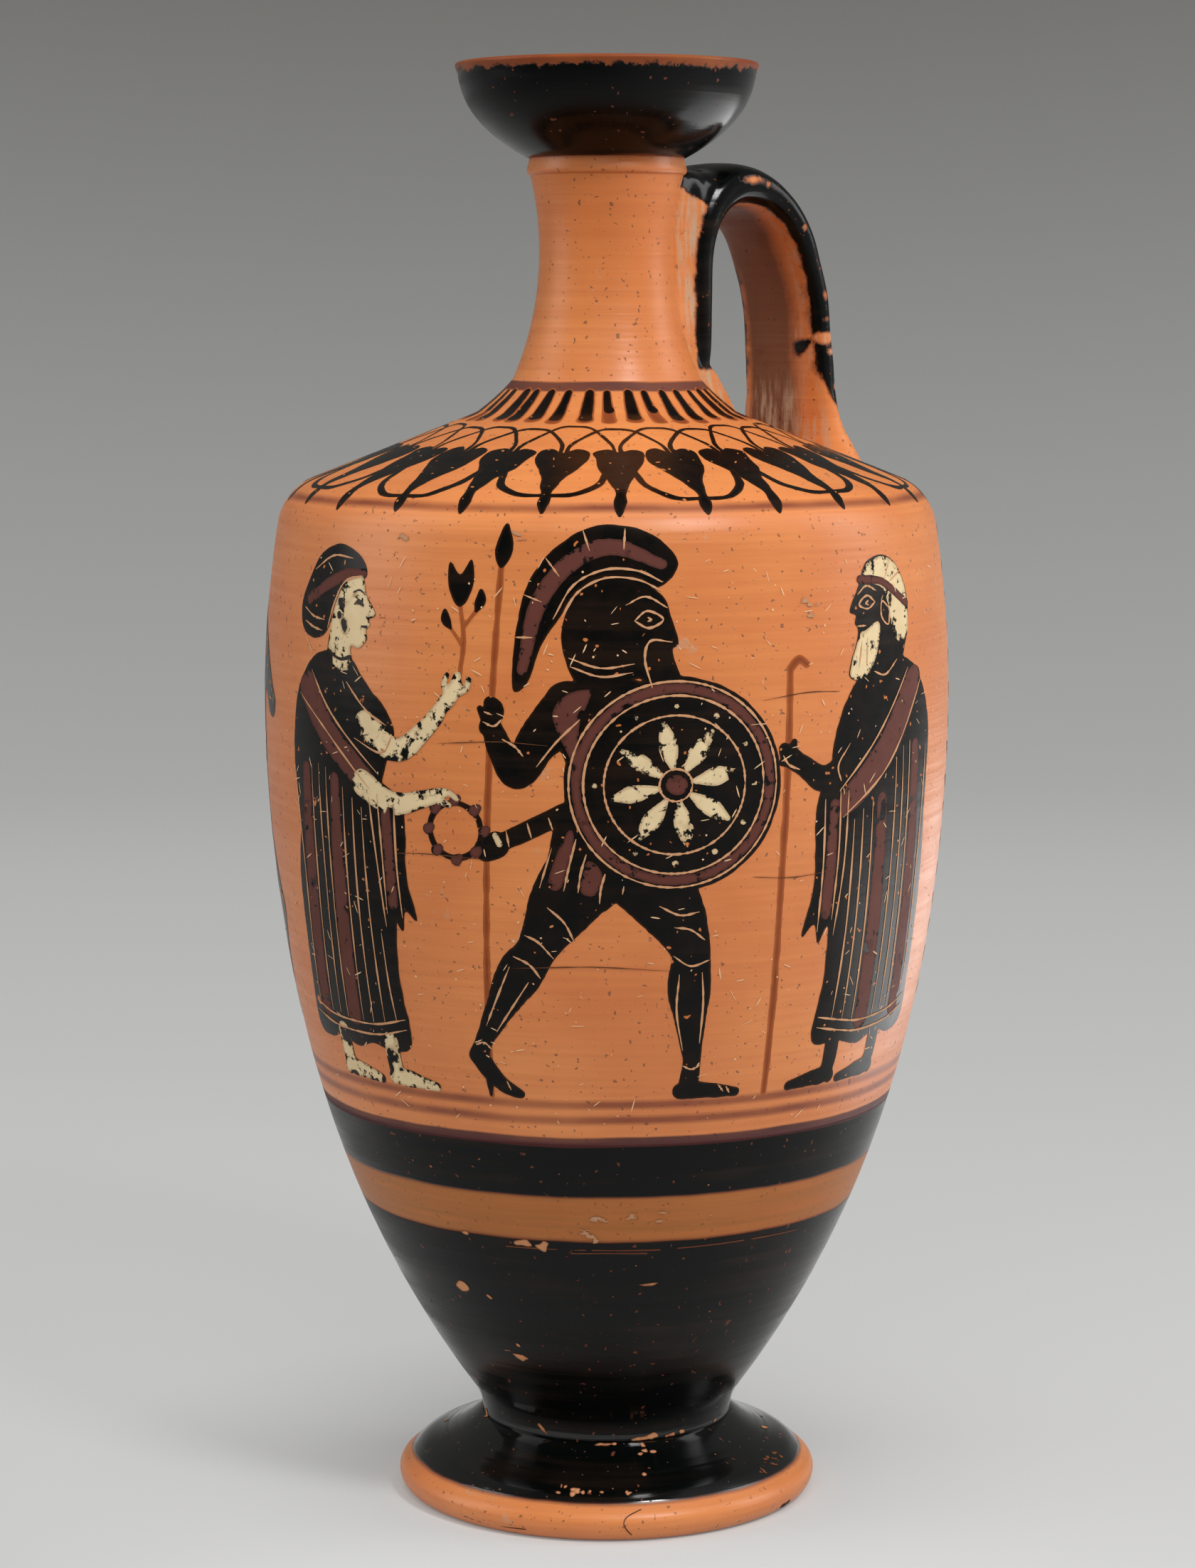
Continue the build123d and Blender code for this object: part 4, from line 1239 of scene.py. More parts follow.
# %% Warrior with a round shield
SHIELD = (8.5, 47.2)
petals = [brush((SHIELD[0] + 2.6 * math.cos(a), SHIELD[1] + 2.6 * math.sin(a), 0.4),
                (SHIELD[0] + 5.8 * math.cos(a), SHIELD[1] + 5.8 * math.sin(a), 1.3),
                (SHIELD[0] + 9.0 * math.cos(a), SHIELD[1] + 9.0 * math.sin(a), 0.35))
          for a in np.arange(8) * math.pi / 4 + 0.2]
lay_figure(
    "warrior", 1, seed=12,
    wash=[brush((-19.6, 0.6, 0.5), (-17.8, 40, 0.5), (-15.9, 79, 0.45))],
    black=[brush((2.8, 36, 5.8), (7.4, 30.4, 4.9), (10.6, 24.8, 3.3), (11.3, 21.8, 2.9), (11.2, 17.4, 3.3),
                 (11.7, 11.6, 2.2), (12.2, 6, 1.4), (12, 3, 1.6)),
           brush((10.6, 1.6, 1.2), (12, 1.8, 1.5), (15.4, 1.5, 1.2), (20, 1, 0.7)),
           brush((-2.8, 36, 5.8), (-6.6, 31, 5), (-9.8, 25.6, 3.4), (-11.4, 22.8, 2.9), (-14, 19.2, 3.3),
                 (-17.4, 13.6, 2.1), (-20, 9, 1.4), (-21, 6.8, 1.6)),
           brush((-21.4, 6.6, 1.3), (-19.8, 4.8, 1.5), (-17.6, 2.4, 1.2), (-14.6, 1, 0.7)),
           area((-6, 36), (-6.8, 41), (-5.2, 46.4), (-7.2, 52), (-9, 57.2), (-6.4, 61.4), (-1, 62.8), (5, 61),
                (8, 55), (5.6, 47), (7, 41), (5, 36)),
           area((-6.6, 42.6), (-9.2, 36.6), (-11.4, 30.8), (-8.4, 31.6), (-6.8, 29.6), (-4.4, 31.2),
                (-1.8, 29), (1.2, 30.8), (4.2, 28.8), (6.8, 30.6), (10.2, 29.4), (9.2, 36), (7.6, 42.6)),
           area(*circle(*SHIELD, 15.4)[:-1]),
           brush((-6, 58, 4), (-10.2, 53.6, 3), (-13.2, 49, 2.4), (-15.4, 51.8, 2), (-16.8, 55, 1.5)),
           brush((-17.4, 55.2, 1.3), (-16.6, 57.6, 1.5), (-17.2, 58.8, 0.9)),
           brush((-17.8, 56.6, 0.8), (-18.6, 57.8, 0.5)),
           area((-5.2, 61.6), (-6.9, 65.6), (-7, 70), (-5.2, 74.2), (-1.2, 76.6), (3.4, 76.4), (6.8, 73.8),
                (7.9, 70.8), (8.9, 67.2), (8.1, 66.4), (8.5, 64.4), (9.6, 60.4), (6.6, 60), (3.4, 62.4),
                (0.4, 60.4), (-2.8, 60.2)),
           area((6.2, 75), (9, 78.4), (5.6, 82.4), (-1, 84), (-7.4, 81.4), (-11.8, 76), (-13.6, 68.8),
                (-14, 60.8), (-11.8, 61.6), (-10, 66.8), (-7.4, 71), (-5, 74.6), (-1.2, 76.6), (3.2, 76.4)),
           area((-16, 77.6), (-17, 80.2), (-15.4, 84.2), (-14.3, 80.2)),
           brush((-4, 44.6, 1.5), (-12, 40.6, 1.35), (-16.6, 38.4, 1.3)),
           brush((-16.4, 38.5, 1.9), (-18, 37.7, 1.8)),
           brush((-19.7, 0.6, 0.3), (-19.5, 4, 0.8), (-19.3, 6, 0.5))],
    red=[brush((6.6, 78.4, 0.8), (-0.6, 80.8, 1.2), (-7, 77.8, 1.25), (-10.8, 71.8, 1.2), (-12.6, 63.4, 0.8)),
         brush(*[(*p, 0.7) for p in circle(*SHIELD, 13.7, step=15)]),
         brush((*SHIELD, 1.4), (SHIELD[0] + 0.2, SHIELD[1], 1.4)),
         area((-6.6, 40.4), (-9.2, 33.4), (-7.4, 32.6), (-5.4, 39.6)),
         area((-3.6, 36.4), (-4.8, 32.2), (-2.6, 31.4), (-1.6, 34.6)),
         area((-8.4, 57), (-6.6, 60), (-3, 60.6), (-4.6, 56), (-5, 50), (-6.6, 52.4))],
    white=[*petals, brush((-16, 38.6, 0.45), (-16.6, 39.8, 0.45)),
           *[brush((x, y, 0.38), (x + 0.1, y, 0.38)) for x, y in circle(*SHIELD, 11.2, 0, 350, 30)]],
    line=[circle(*SHIELD, 14.7), circle(*SHIELD, 12.7), circle(*SHIELD, 2.3, step=30), circle(*SHIELD, 9.9),
          [(-7.2, 70.8), (-5, 74.4), (-1.2, 76.4), (3.2, 76.2), (6.6, 74.6)],
          [(-8.4, 70.6), (-5.6, 75.4), (-1.2, 77.6), (3.4, 77.4), (6.8, 75.8)],
          [(2.8, 70.4), (4.6, 71.8), (6.8, 70.6), (4.8, 69.4), (2.8, 70.4)],
          [(4.6, 70.9), (5.1, 70.6), (4.6, 70.3)], [(8, 67.4), (5, 67.6), (4.2, 65), (5.2, 61)],
          [(-6, 64), (-1.8, 62.6), (2.6, 63.2)], [(-6.2, 65.2), (-1.8, 63.8), (2.8, 64.4)],
          [(1.6, 72.6), (4.4, 73.8), (7.4, 72.2)], [(-9.6, 79.2), (-7.6, 76.6)], [(-4.4, 83.2), (-3.4, 80.2)],
          [(1.6, 83.4), (1.4, 80.4)], [(-12.6, 74), (-10, 73)], [(-13.6, 68), (-11.2, 68)],
          [(-5.2, 39.6), (-6.2, 35.6), (-7, 32)], [(-3.8, 37.4), (-4.6, 34.6), (-5, 31.8)],
          [(-1.2, 34.6), (-1.8, 32.4), (-2, 30.2)], [(1.4, 32.8), (1.2, 31.6)], [(-8.6, 38.2), (-10.4, 32.4)],
          [(8.6, 26.6), (11, 26.2), (13.2, 24.6)], [(8.6, 22.4), (11.2, 20.8), (14, 21.6)],
          [(9.6, 19.6), (9.4, 14), (10.6, 8)], [(13, 19.8), (13.4, 15), (13.2, 9)],
          [(10.8, 5.6), (12.2, 5), (13.6, 5.6)], [(16.8, 2.4), (17.8, 1.2)], [(18.2, 2), (18.9, 0.9)],
          [(-12.8, 25.4), (-10.8, 24.4), (-8.6, 22)], [(-14.6, 22.2), (-12.2, 21), (-10.6, 19)],
          [(-15.2, 20.6), (-17.2, 16.2), (-19.4, 11.4)], [(-12.4, 18.4), (-15, 14.6), (-17.8, 10.6)],
          [(-21.4, 8.4), (-20, 8.8), (-18.8, 7.8)], [(-16.8, 3), (-16.2, 1.6)],
          [(-4.6, 56.6), (-7.8, 53.4), (-10.6, 49.8)], [(-12.4, 51.2), (-13.6, 52.6), (-15.4, 53.6)],
          [(-18.2, 56), (-16.6, 55.4), (-15.4, 56.4)], [(-18, 57.4), (-16.8, 57)], [(-9, 42.6), (-8.4, 40.8)],
          [(-12, 41.8), (-11.4, 39.6)], [(-15, 40.6), (-14.6, 38.2)],
          [(6.4, 29.8), (9.4, 28.4), (12.2, 28.8)], [(-9.4, 29.6), (-7, 27.4), (-5.6, 24.6)]])

# %% Old man with a staff
hair = area((-6.4, 69.4), (-5.6, 75), (-1.6, 78.2), (3, 77.4), (4, 75.2), (-0.2, 73.4), (-1.2, 70),
            (-2.8, 66), (-5.4, 66.2))
beard = area((1.4, 68.8), (4.4, 67.8), (6, 67), (8, 61.6), (5, 61.2), (2.2, 64.4))
man_feet = [brush(*moved(part, x, False)) for x in (6, -5) for part in (FOOT, HEEL)]
lay_figure(
    "old_man", 45, flip=True, seed=13,
    wash=[brush((18.8, 0.4, 0.6), (19.3, 30, 0.55), (18.6, 63, 0.55)),
          brush((18.6, 63, 0.6), (17.2, 64.4, 0.6), (15.8, 63.6, 0.5))],
    black=[area((-3, 63.8), (-9, 60.8), (-12.6, 53), (-12.4, 42), (-13.4, 30), (-14.2, 16), (-14.6, 8),
                (-10, 6.2), (-5, 7.2), (0, 5.8), (5, 7), (10.8, 7.6), (10, 18), (10.4, 30), (9.6, 40),
                (11.4, 46.6), (10.6, 54), (7.4, 59.8), (3, 63)),
           area((-2.8, 62), (-5.4, 66), (-6.6, 70.4), (-5.6, 75.2), (-1.6, 78.4), (3.2, 77.6), (5.4, 74.2),
                (7.6, 70.8), (6.4, 70), (6.7, 68.9), (6.1, 67.4), (8.2, 61.6), (5, 60.9), (2.8, 62)),
           brush((6, 49.5, 2.8), (12.4, 47, 2), (16.8, 49.4, 1.4)),
           brush((16.6, 49.2, 1.3), (18.6, 50.6, 1.5), (19.6, 51.8, 0.8)),
           brush((18, 49.6, 0.7), (20, 49.8, 0.5)), brush((18.4, 51, 0.8), (18, 52.6, 0.5)),
           area((7.4, 47.6), (12.4, 46.2), (14, 42), (13.6, 32), (15.2, 24), (13, 25.6), (12, 22.6),
                (10.4, 25), (9, 22), (8, 30), (7, 40)), *man_feet],
    red=[area((-9.4, 59.4), (-5.8, 61.4), (1.6, 52), (9.4, 44.4), (8.8, 41), (-0.4, 47.4)),
         brush((-8, 50, 1.1), (-8.8, 30, 1.6), (-10, 10.4, 1.7)),
         brush((0.6, 43, 1.1), (0.2, 26, 1.6), (0, 9.8, 1.7)),
         brush((10.6, 43, 0.8), (10.8, 34, 1), (11, 27, 0.9))],
    white=[hair, beard], fillet=[brush((5, 75.2, 0.6), (0, 74.6, 0.65), (-6, 71.2, 0.65))],
    line=[[(-9.6, 60), (-0.8, 48.2), (9, 41)], [(-5.6, 61.8), (2.2, 52.4), (9.8, 45)],
          [(-11.6, 50), (-11.2, 32), (-12.4, 11.4)], [(-6.2, 51), (-6.6, 30), (-7.4, 10.4)],
          [(-4.4, 50.4), (-4.8, 30), (-5.2, 10.4)], [(-2.6, 48.6), (-2.8, 28), (-3, 9.6)],
          [(2.8, 43.4), (2.4, 26), (2.4, 9.8)], [(4.8, 42), (4.6, 26), (4.8, 10.2)],
          [(6.6, 40.6), (6.6, 24), (7.2, 10.6)], [(-14, 10.2), (-8, 8.6), (0, 8), (5, 8.6), (10.2, 9.6)],
          [(-14, 11.8), (-8, 10.2), (0, 9.6), (5, 10.2), (10.2, 11.2)],
          [(2, 71.8), (3.8, 72.8), (5.6, 71.6), (3.8, 70.9), (2, 71.8)],
          [(3.5, 72.1), (4.1, 71.7), (3.5, 71.4)], [(1.6, 73.4), (3.8, 74.2), (5.8, 73)],
          [(-1.4, 70.6), (0.4, 71.8), (0.7, 69.6), (-0.8, 68.4), (-1.4, 70.6)], [(4.4, 68.5), (6.3, 68.5)],
          [(-2.6, 63.2), (0.4, 61.2), (3, 61.8)], [(17, 48.6), (18.8, 49.4), (19.8, 50.8)],
          [(8, 51.8), (10.2, 48.8), (9.6, 46.4)], [(8, 45), (8.2, 34), (9.2, 23.6)],
          [(9.6, 45.4), (9.4, 36), (9.8, 26)], [(12.4, 44), (12.2, 34), (12.4, 24.4)], [(-5, 76), (-2, 74.6)],
          [(-2.4, 77.8), (-0.6, 74.8)], [(5.4, 66.4), (6.2, 62.6)], [(4.2, 66.8), (4.6, 62.6)]])

# %% Rider on a walking horse
lay_figure(
    "rider", -98, seed=14,
    wash=[brush((14.8, 58, 0.35), (22, 58.8, 0.3), (31, 57, 0.3)),
          brush((-9, 36, 0.5), (4.6, 61, 0.5), (14, 80, 0.4))],
    black=[brush((14.5, 40.5, 9.2), (5, 39.2, 8.2), (-7, 39.8, 7.9), (-15.5, 41, 9.2)),
           area((8, 48), (13, 52), (16.6, 58), (19, 64.6), (23.2, 66.8), (27.4, 60), (25.8, 52), (24.4, 44),
                (20, 36), (12, 40)),
           area((18.6, 62.6), (21.4, 66.8), (22.6, 71.4), (24.8, 68.2), (28.4, 65), (33.4, 58.4),
                (35.4, 55.6), (34.2, 53.2), (31.6, 53.6), (28.8, 56.6), (26, 57), (22, 57.6)),
           brush((17, 34, 4.4), (18.2, 26.6, 2.8), (18.9, 20.4, 2), (18.9, 18.6, 1.9), (18.3, 11, 1.25),
                 (17.8, 5.4, 1.35)), brush((17.8, 4.4, 1.1), (18.8, 1.7, 1.7), (19.8, 1.2, 1.1)),
           brush((19.6, 35, 4.6), (25.4, 29.4, 2.8), (29, 24, 2), (29.2, 22.4, 1.8), (26.6, 15.6, 1.25),
                 (24.6, 11, 1.35)), brush((24.4, 10.4, 1.1), (24.8, 7.6, 1.7), (25.4, 6.6, 1.1)),
           brush((-17, 37.4, 6.6), (-20, 29, 4), (-22.8, 22, 2.3), (-22, 19.6, 1.8), (-19.8, 12, 1.4),
                 (-18.8, 5.6, 1.4)), brush((-18.8, 4.4, 1.2), (-17.7, 1.8, 1.8), (-16.6, 1.2, 1.1)),
           brush((-12, 36, 6.2), (-12.4, 28.6, 3.8), (-15, 21.6, 2.2), (-14.4, 19.6, 1.8), (-11.8, 12, 1.35),
                 (-10.6, 5.6, 1.35)), brush((-10.6, 4.4, 1.15), (-9.5, 1.8, 1.75), (-8.4, 1.2, 1.1)),
           brush((-23.4, 46, 1.5), (-28.6, 42.6, 2.2), (-31.8, 32, 2.5), (-32, 20, 1.9), (-30.6, 10, 0.5)),
           area((-5, 46.6), (-5.4, 54), (-7, 61.4), (-3.6, 65.8), (2.6, 65.6), (5, 61), (4, 54), (5, 46.6)),
           area((-6.4, 62), (-9.4, 56), (-11.4, 49.4), (-14.2, 47.6), (-11.6, 46.2), (-8.4, 47.6), (-5, 52)),
           brush((0, 48.6, 4.4), (6.8, 43.8, 3.8), (10.2, 41, 2.8), (9.6, 38.6, 2.4), (8, 33.6, 2.6),
                 (6.6, 27.4, 1.4), (6.6, 25.2, 1.4)), brush((5.8, 24.4, 1.1), (8, 24, 1.2), (12, 22.8, 0.7)),
           brush((-0.4, 62.4, 3), (6, 56.8, 2.1), (12.6, 57, 1.5)),
           brush((12.6, 57, 1.4), (14.8, 58.2, 1.2), (15.8, 57.4, 0.6)),
           area((-2.6, 63.4), (-5, 68.4), (-5.2, 73), (-3.2, 76.6), (0.6, 78), (4.4, 76.4), (5.6, 73.8),
                (7.4, 70.9), (6.3, 70.1), (6.6, 69.1), (6.1, 68.4), (6.2, 67.2), (4.6, 65.8), (3, 65.6),
                (3, 63.2)), area((-5.4, 66.6), (-7.4, 68), (-7.8, 71.4), (-5.6, 73.6), (-4, 70))],
    red=[area((8.6, 48.6), (13, 53), (16, 59), (18.4, 65), (20.2, 65.4), (18, 58), (14.8, 51.6), (11, 47.6)),
         brush((5.4, 74.6, 0.6), (0, 74.6, 0.7), (-5, 71.6, 0.7)),
         area((-5.8, 59.6), (0.4, 58), (4.2, 58.6), (3.4, 50.4), (-4.6, 50)),
         brush((22.8, 46, 0.9), (14.4, 51, 0.9)),
         area((-8.6, 56), (-11, 50), (-12.4, 47.8), (-9.4, 48.4), (-6.6, 52.6))],
    line=[[(9.2, 47.4), (14.4, 50.6), (17.6, 57), (20.2, 65.2)],
          [(27.2, 63.2), (28.8, 63.6), (28.6, 62), (27.2, 63.2)], [(24.6, 67), (26.4, 62), (25.8, 57.4)],
          *[[(9.4 + 1.9 * k, 49.4 + 2.7 * k), (11.4 + 1.6 * k, 48.6 + 2.7 * k)] for k in range(6)],
          [(31.4, 56), (33.6, 55.8)], [(33.2, 57.4), (33.9, 56.9)],
          [(24.6, 45.6), (19.8, 48.8), (13.4, 51.4)], [(24, 44.2), (19.2, 47.4), (12.8, 50)],
          [(10, 46), (12.6, 38), (16, 33)], [(-8.6, 46.8), (-7.8, 40), (-10.4, 32)],
          [(-21.8, 28), (-19, 32), (-16.4, 33.4)], [(3.8, 47), (7.6, 46.4), (11.8, 42.4)],
          [(7.2, 38.6), (9.8, 38), (12, 39.4)], [(7.4, 36), (6.8, 31), (6.2, 27.6)],
          [(-5.4, 50.2), (0, 49.4), (4.4, 50.2)], [(-5.2, 48.8), (0, 48), (4.6, 48.8)],
          [(-5.8, 58.8), (0, 57), (4.2, 57.8)], [(2, 72.2), (3.7, 73.1), (5.3, 72), (3.7, 71.3), (2, 72.2)],
          [(3.4, 72.5), (4, 72.1), (3.4, 71.8)], [(-3.4, 67), (-0.6, 70), (0.6, 73.4), (5, 74.2)],
          [(4.2, 68.7), (6.1, 68.8)], [(1.6, 64.4), (4.6, 60.4), (5, 56.8)],
          [(-7.6, 60), (-9.6, 54), (-12.6, 48)], [(17, 22.4), (19, 21.4), (21, 22)],
          [(27.4, 25.4), (29.4, 25.8), (30.8, 24.2)], [(16.6, 6.4), (17.8, 6), (19, 6.4)],
          [(23.6, 12.4), (24.8, 12.6), (25.8, 11.8)], [(-20, 6.6), (-18.8, 6.2), (-17.6, 6.6)],
          [(-11.8, 6.6), (-10.6, 6.2), (-9.4, 6.6)], [(-24.4, 45), (-28.4, 40.6), (-30.6, 31), (-31, 20)],
          [(-20.8, 24.4), (-22.6, 20.6)], [(-13.2, 24), (-15, 20)], [(-6.6, 71.6), (-6, 69)]])

# %% Branches with leaves close the picture at both ends
def branch(x, lean_by, seed):
    """A rising stem with leaves in pairs: the stem as wash, the leaves as black dabs."""
    rng = np.random.default_rng(seed)
    stem = [(x + lean_by * t + 1.8 * math.sin(9 * t), 4 + 74 * t) for t in np.linspace(0, 1, 9)]
    leaves = []
    for px, py in smooth(stem, steps=2)[1:]:
        for side in (-1, 1):
            tip = (px + side * rng.uniform(3.6, 5.0), py + rng.uniform(2.0, 3.4))
            leaves.append(brush((px + side * 1.0, py + 0.4, 0.35),
                                ((px + tip[0]) / 2, (py + tip[1]) / 2, 1.05), (*tip, 0.3)))
    return [brush(*[(*p, 0.4) for p in stem])], leaves


for name, x, lean_by, seed in (("branch_right", 76.0, 4.0, 21), ("branch_left", -141.0, -4.0, 22)):
    stem, leaves = branch(x, lean_by, seed)
    lay_figure(name, 0.0, seed=seed, wash=stem, black=leaves)

# %% [markdown]
# ## Age
# Long burial has flaked the gloss in small chips, most of all where foot and body join, roots and grit
# have scratched the wall, and lime from the ground clings in grey crusts. Chips and crusts have their
# places, so they are drawn one by one as thin skins on the outside, and only those along the foot's edge
# and on the far side fall by lot. The scratches and specks are many and alike, so Geometry Nodes strew
# them and turn each one flat against the wall.

# %% Places on the outside
outside = np.vstack([foot_top[foot_top[:, 0] > ROLL_END], roll_line[::-1], stem_line[::-1],
                     wall[wall_z > stem_line[0][1]]])
outside_s = np.concatenate([[0], np.cumsum(np.hypot(*np.diff(outside, axis=0).T))])
on_line = lathe_place(outside)
AGE_RADIUS = 30.0


def on_outside(x, y, lift):
    """Lays flat mm on foot and wall: x round the pot from the photographed middle, y up the outside line."""
    return on_line(FRONT + x / AGE_RADIUS, y, lift)


def spot_on(turn, height):
    """Flat place of a spot `turn` degrees from the photographed middle at a height, and its radius."""
    radius, along = (float(np.interp(height, outside[:, 1], c)) for c in (outside[:, 0], outside_s))
    return math.radians(turn) * AGE_RADIUS, along, radius


def chip(turn, height, wide, tall, tilt, rng):
    """A chip with uneven sides: place in degrees and mm, size in mm, tilt in degrees."""
    x, y, radius = spot_on(turn, height)
    a = np.arange(8) * math.pi / 4 + rng.uniform(-0.25, 0.25, 8)
    reach = rng.uniform(0.34, 0.58, 8)
    u, v = wide * reach * np.cos(a), tall * reach * np.sin(a)
    c, s = math.cos(math.radians(tilt)), math.sin(math.radians(tilt))
    return area(*zip(x + (u * c - v * s) * AGE_RADIUS / radius, y + u * s + v * c))


def trail(points, half):
    """A fine stroke through (degrees, height) points."""
    return brush(*[(*spot_on(*point)[:2], half) for point in points])


print("outside line: %.1f mm from the foot's edge to the collar" % outside_s[-1])

# %% Chips, crusts and cracks with a place of their own
# Chips: degrees from the photographed middle, height, width, tallness in mm, tilt in degrees.
CHIPS = [(-39.7, 37.9, 2.4, 2.2, 30), (-31.4, 36.8, 1.9, 0.8, -25), (-27.9, 26.6, 3.0, 1.4, -15),
         (-31.8, 27.4, 1.5, 0.7, 0), (-27.3, 28.7, 0.7, 0.6, 0), (10.4, 40.4, 3.7, 0.9, 5),
         (-19.1, 47.0, 3.0, 1.5, 0), (-14.1, 46.6, 2.1, 2.1, 0), (-33.0, 47.6, 1.2, 0.7, 0),
         (-37.8, 57.9, 0.7, 0.7, 0), (20.5, 36.9, 0.6, 0.5, 0), (-30.3, 13.2, 2.4, 1.1, -50),
         (-73.7, 12.0, 1.4, 2.0, 0), (17.6, 12.2, 4.4, 0.7, 4), (21.2, 12.5, 1.7, 1.2, 0),
         (30.0, 12.2, 1.8, 0.6, 6), (36.4, 12.4, 1.0, 0.5, 0), (59.0, 12.4, 0.8, 0.6, 0),
         (-3.0, 11.6, 2.0, 0.8, 0), (0.8, 11.6, 1.2, 0.5, 0), (3.4, 11.6, 0.7, 0.4, 0),
         (13.4, 10.5, 1.1, 0.9, 0), (15.4, 10.8, 1.1, 0.8, 0), (15.9, 11.4, 0.7, 1.1, 0),
         (19.0, 10.6, 0.8, 0.4, 0), (13.0, 8.4, 0.6, 0.5, 0), (44.0, 9.2, 0.6, 0.5, 0)]
age_rng = np.random.default_rng(41)
chips = [chip(*values, age_rng) for values in CHIPS]
for _ in range(16):
    chips.append(chip(age_rng.uniform(-15, 7), age_rng.uniform(6.6, 7.4), *age_rng.uniform(0.3, 0.9, 2), 0,
                      age_rng))
for _ in range(34):
    height = age_rng.choice([age_rng.uniform(14, 45), age_rng.uniform(57, 62), 12.2, age_rng.uniform(6.5, 9)])
    wide, tall = age_rng.uniform(0.5, 2.4), age_rng.uniform(0.4, 1.3)
    chips.append(chip(age_rng.uniform(80, 280), height, wide, tall, age_rng.uniform(-40, 40), age_rng))
CRUSTS = [(-35.0, 150.5, 1.8, 1.4), (-14.0, 152.0, 1.8, 1.4), (-3.5, 48.6, 3.0, 2.0), (-2.2, 51.6, 2.4, 1.0),
          (10.0, 51.8, 3.4, 1.2), (5.4, 52.0, 1.2, 1.0), (22.6, 50.6, 0.6, 1.6), (-38.0, 120, 2.2, 1.6),
          (34.0, 141, 2.0, 2.6), (120.0, 130, 5.0, 7.0), (205.0, 96, 6.0, 4.0), (168.0, 52.0, 4.0, 2.0),
          (250.0, 144, 4.0, 3.0)]
crusts = [chip(turn, height, 1.5 * wide, 1.5 * tall, 0, age_rng) for turn, height, wide, tall in CRUSTS]
worn_foot = [chip(63.7, 7.1, 7.0, 2.6, 0, age_rng), chip(57.0, 6.6, 4.0, 1.6, 0, age_rng),
             chip(190.0, 7.0, 9.0, 2.4, 0, age_rng)]
cracks = [trail([(9.6, 4.9), (5.6, 4.1), (4.6, 3.2), (5.4, 2.2), (6.8, 1.3)], 0.1),
          trail([(57.6, 1.1), (59.4, 0.9), (60.6, 1.2)], 0.5),
          trail([(-42, 1.7), (-34, 1.3), (-22, 1.5)], 0.09), trail([(140, 4.6), (143, 3.0), (141, 1.0)], 0.1)]
RINGS = [(-23, 12, 46.2), (-8, 9, 45.7), (16, 52, 46.3), (88, 150, 46.1), (190, 262, 46.2)]
rings = [trail([(start, height), ((start + stop) / 2, height + 0.12), (stop, height)], 0.13)
         for start, stop, height in RINGS]
# Bare clay in a chip is pale and dull, lime is grey and rough, worn gloss is brown and half dull, and dirt
# darkens a crack.
bare_chip = slip_material("chipped_bare_clay", "#7E4C30", "#CB9066", 0.28, 0.75, wear=False)
lime_crust = slip_material("lime_crust_grey", "#B07A55", "#AF8E72", 0.5, 0.85, wear=False)
thin_brown = slip_material("gloss_worn_brown", "#5A2E1B", "#8A5230", 0.6, 0.45, wear=False)
crack_line = slip_material("crack_with_dirt", "#5E3A26", "#3A241A", 0.2, 0.8, wear=False)
for name, shapes, lift, ripple, wear, grain, finish, slot in (
        ("gloss_chips", chips, 0.06, 0.7, 0.0, 1.0, bare_chip, "clay"),
        ("lime_crusts", crusts, 0.12, 1.2, 0.55, 0.8, lime_crust, "luting_clay"),
        ("worn_foot_top", worn_foot, 0.04, 1.2, 0.55, 0.6, thin_brown, "clay"),
        ("foot_cracks", cracks, 0.05, 0.1, 0.0, 1.0, crack_line, "clay"),
        ("turning_lines", rings, 0.04, 0.1, 0.3, 3.0, thin_brown, "clay")):
    skin = paint_mesh(name, shapes, on_outside, lift, cell=0.16, ripple=ripple, wear=wear, grain=grain,
                      seed=43)
    aged = lay(skin, finish, slot)
    print(name, "faces:", len(aged.data.polygons))

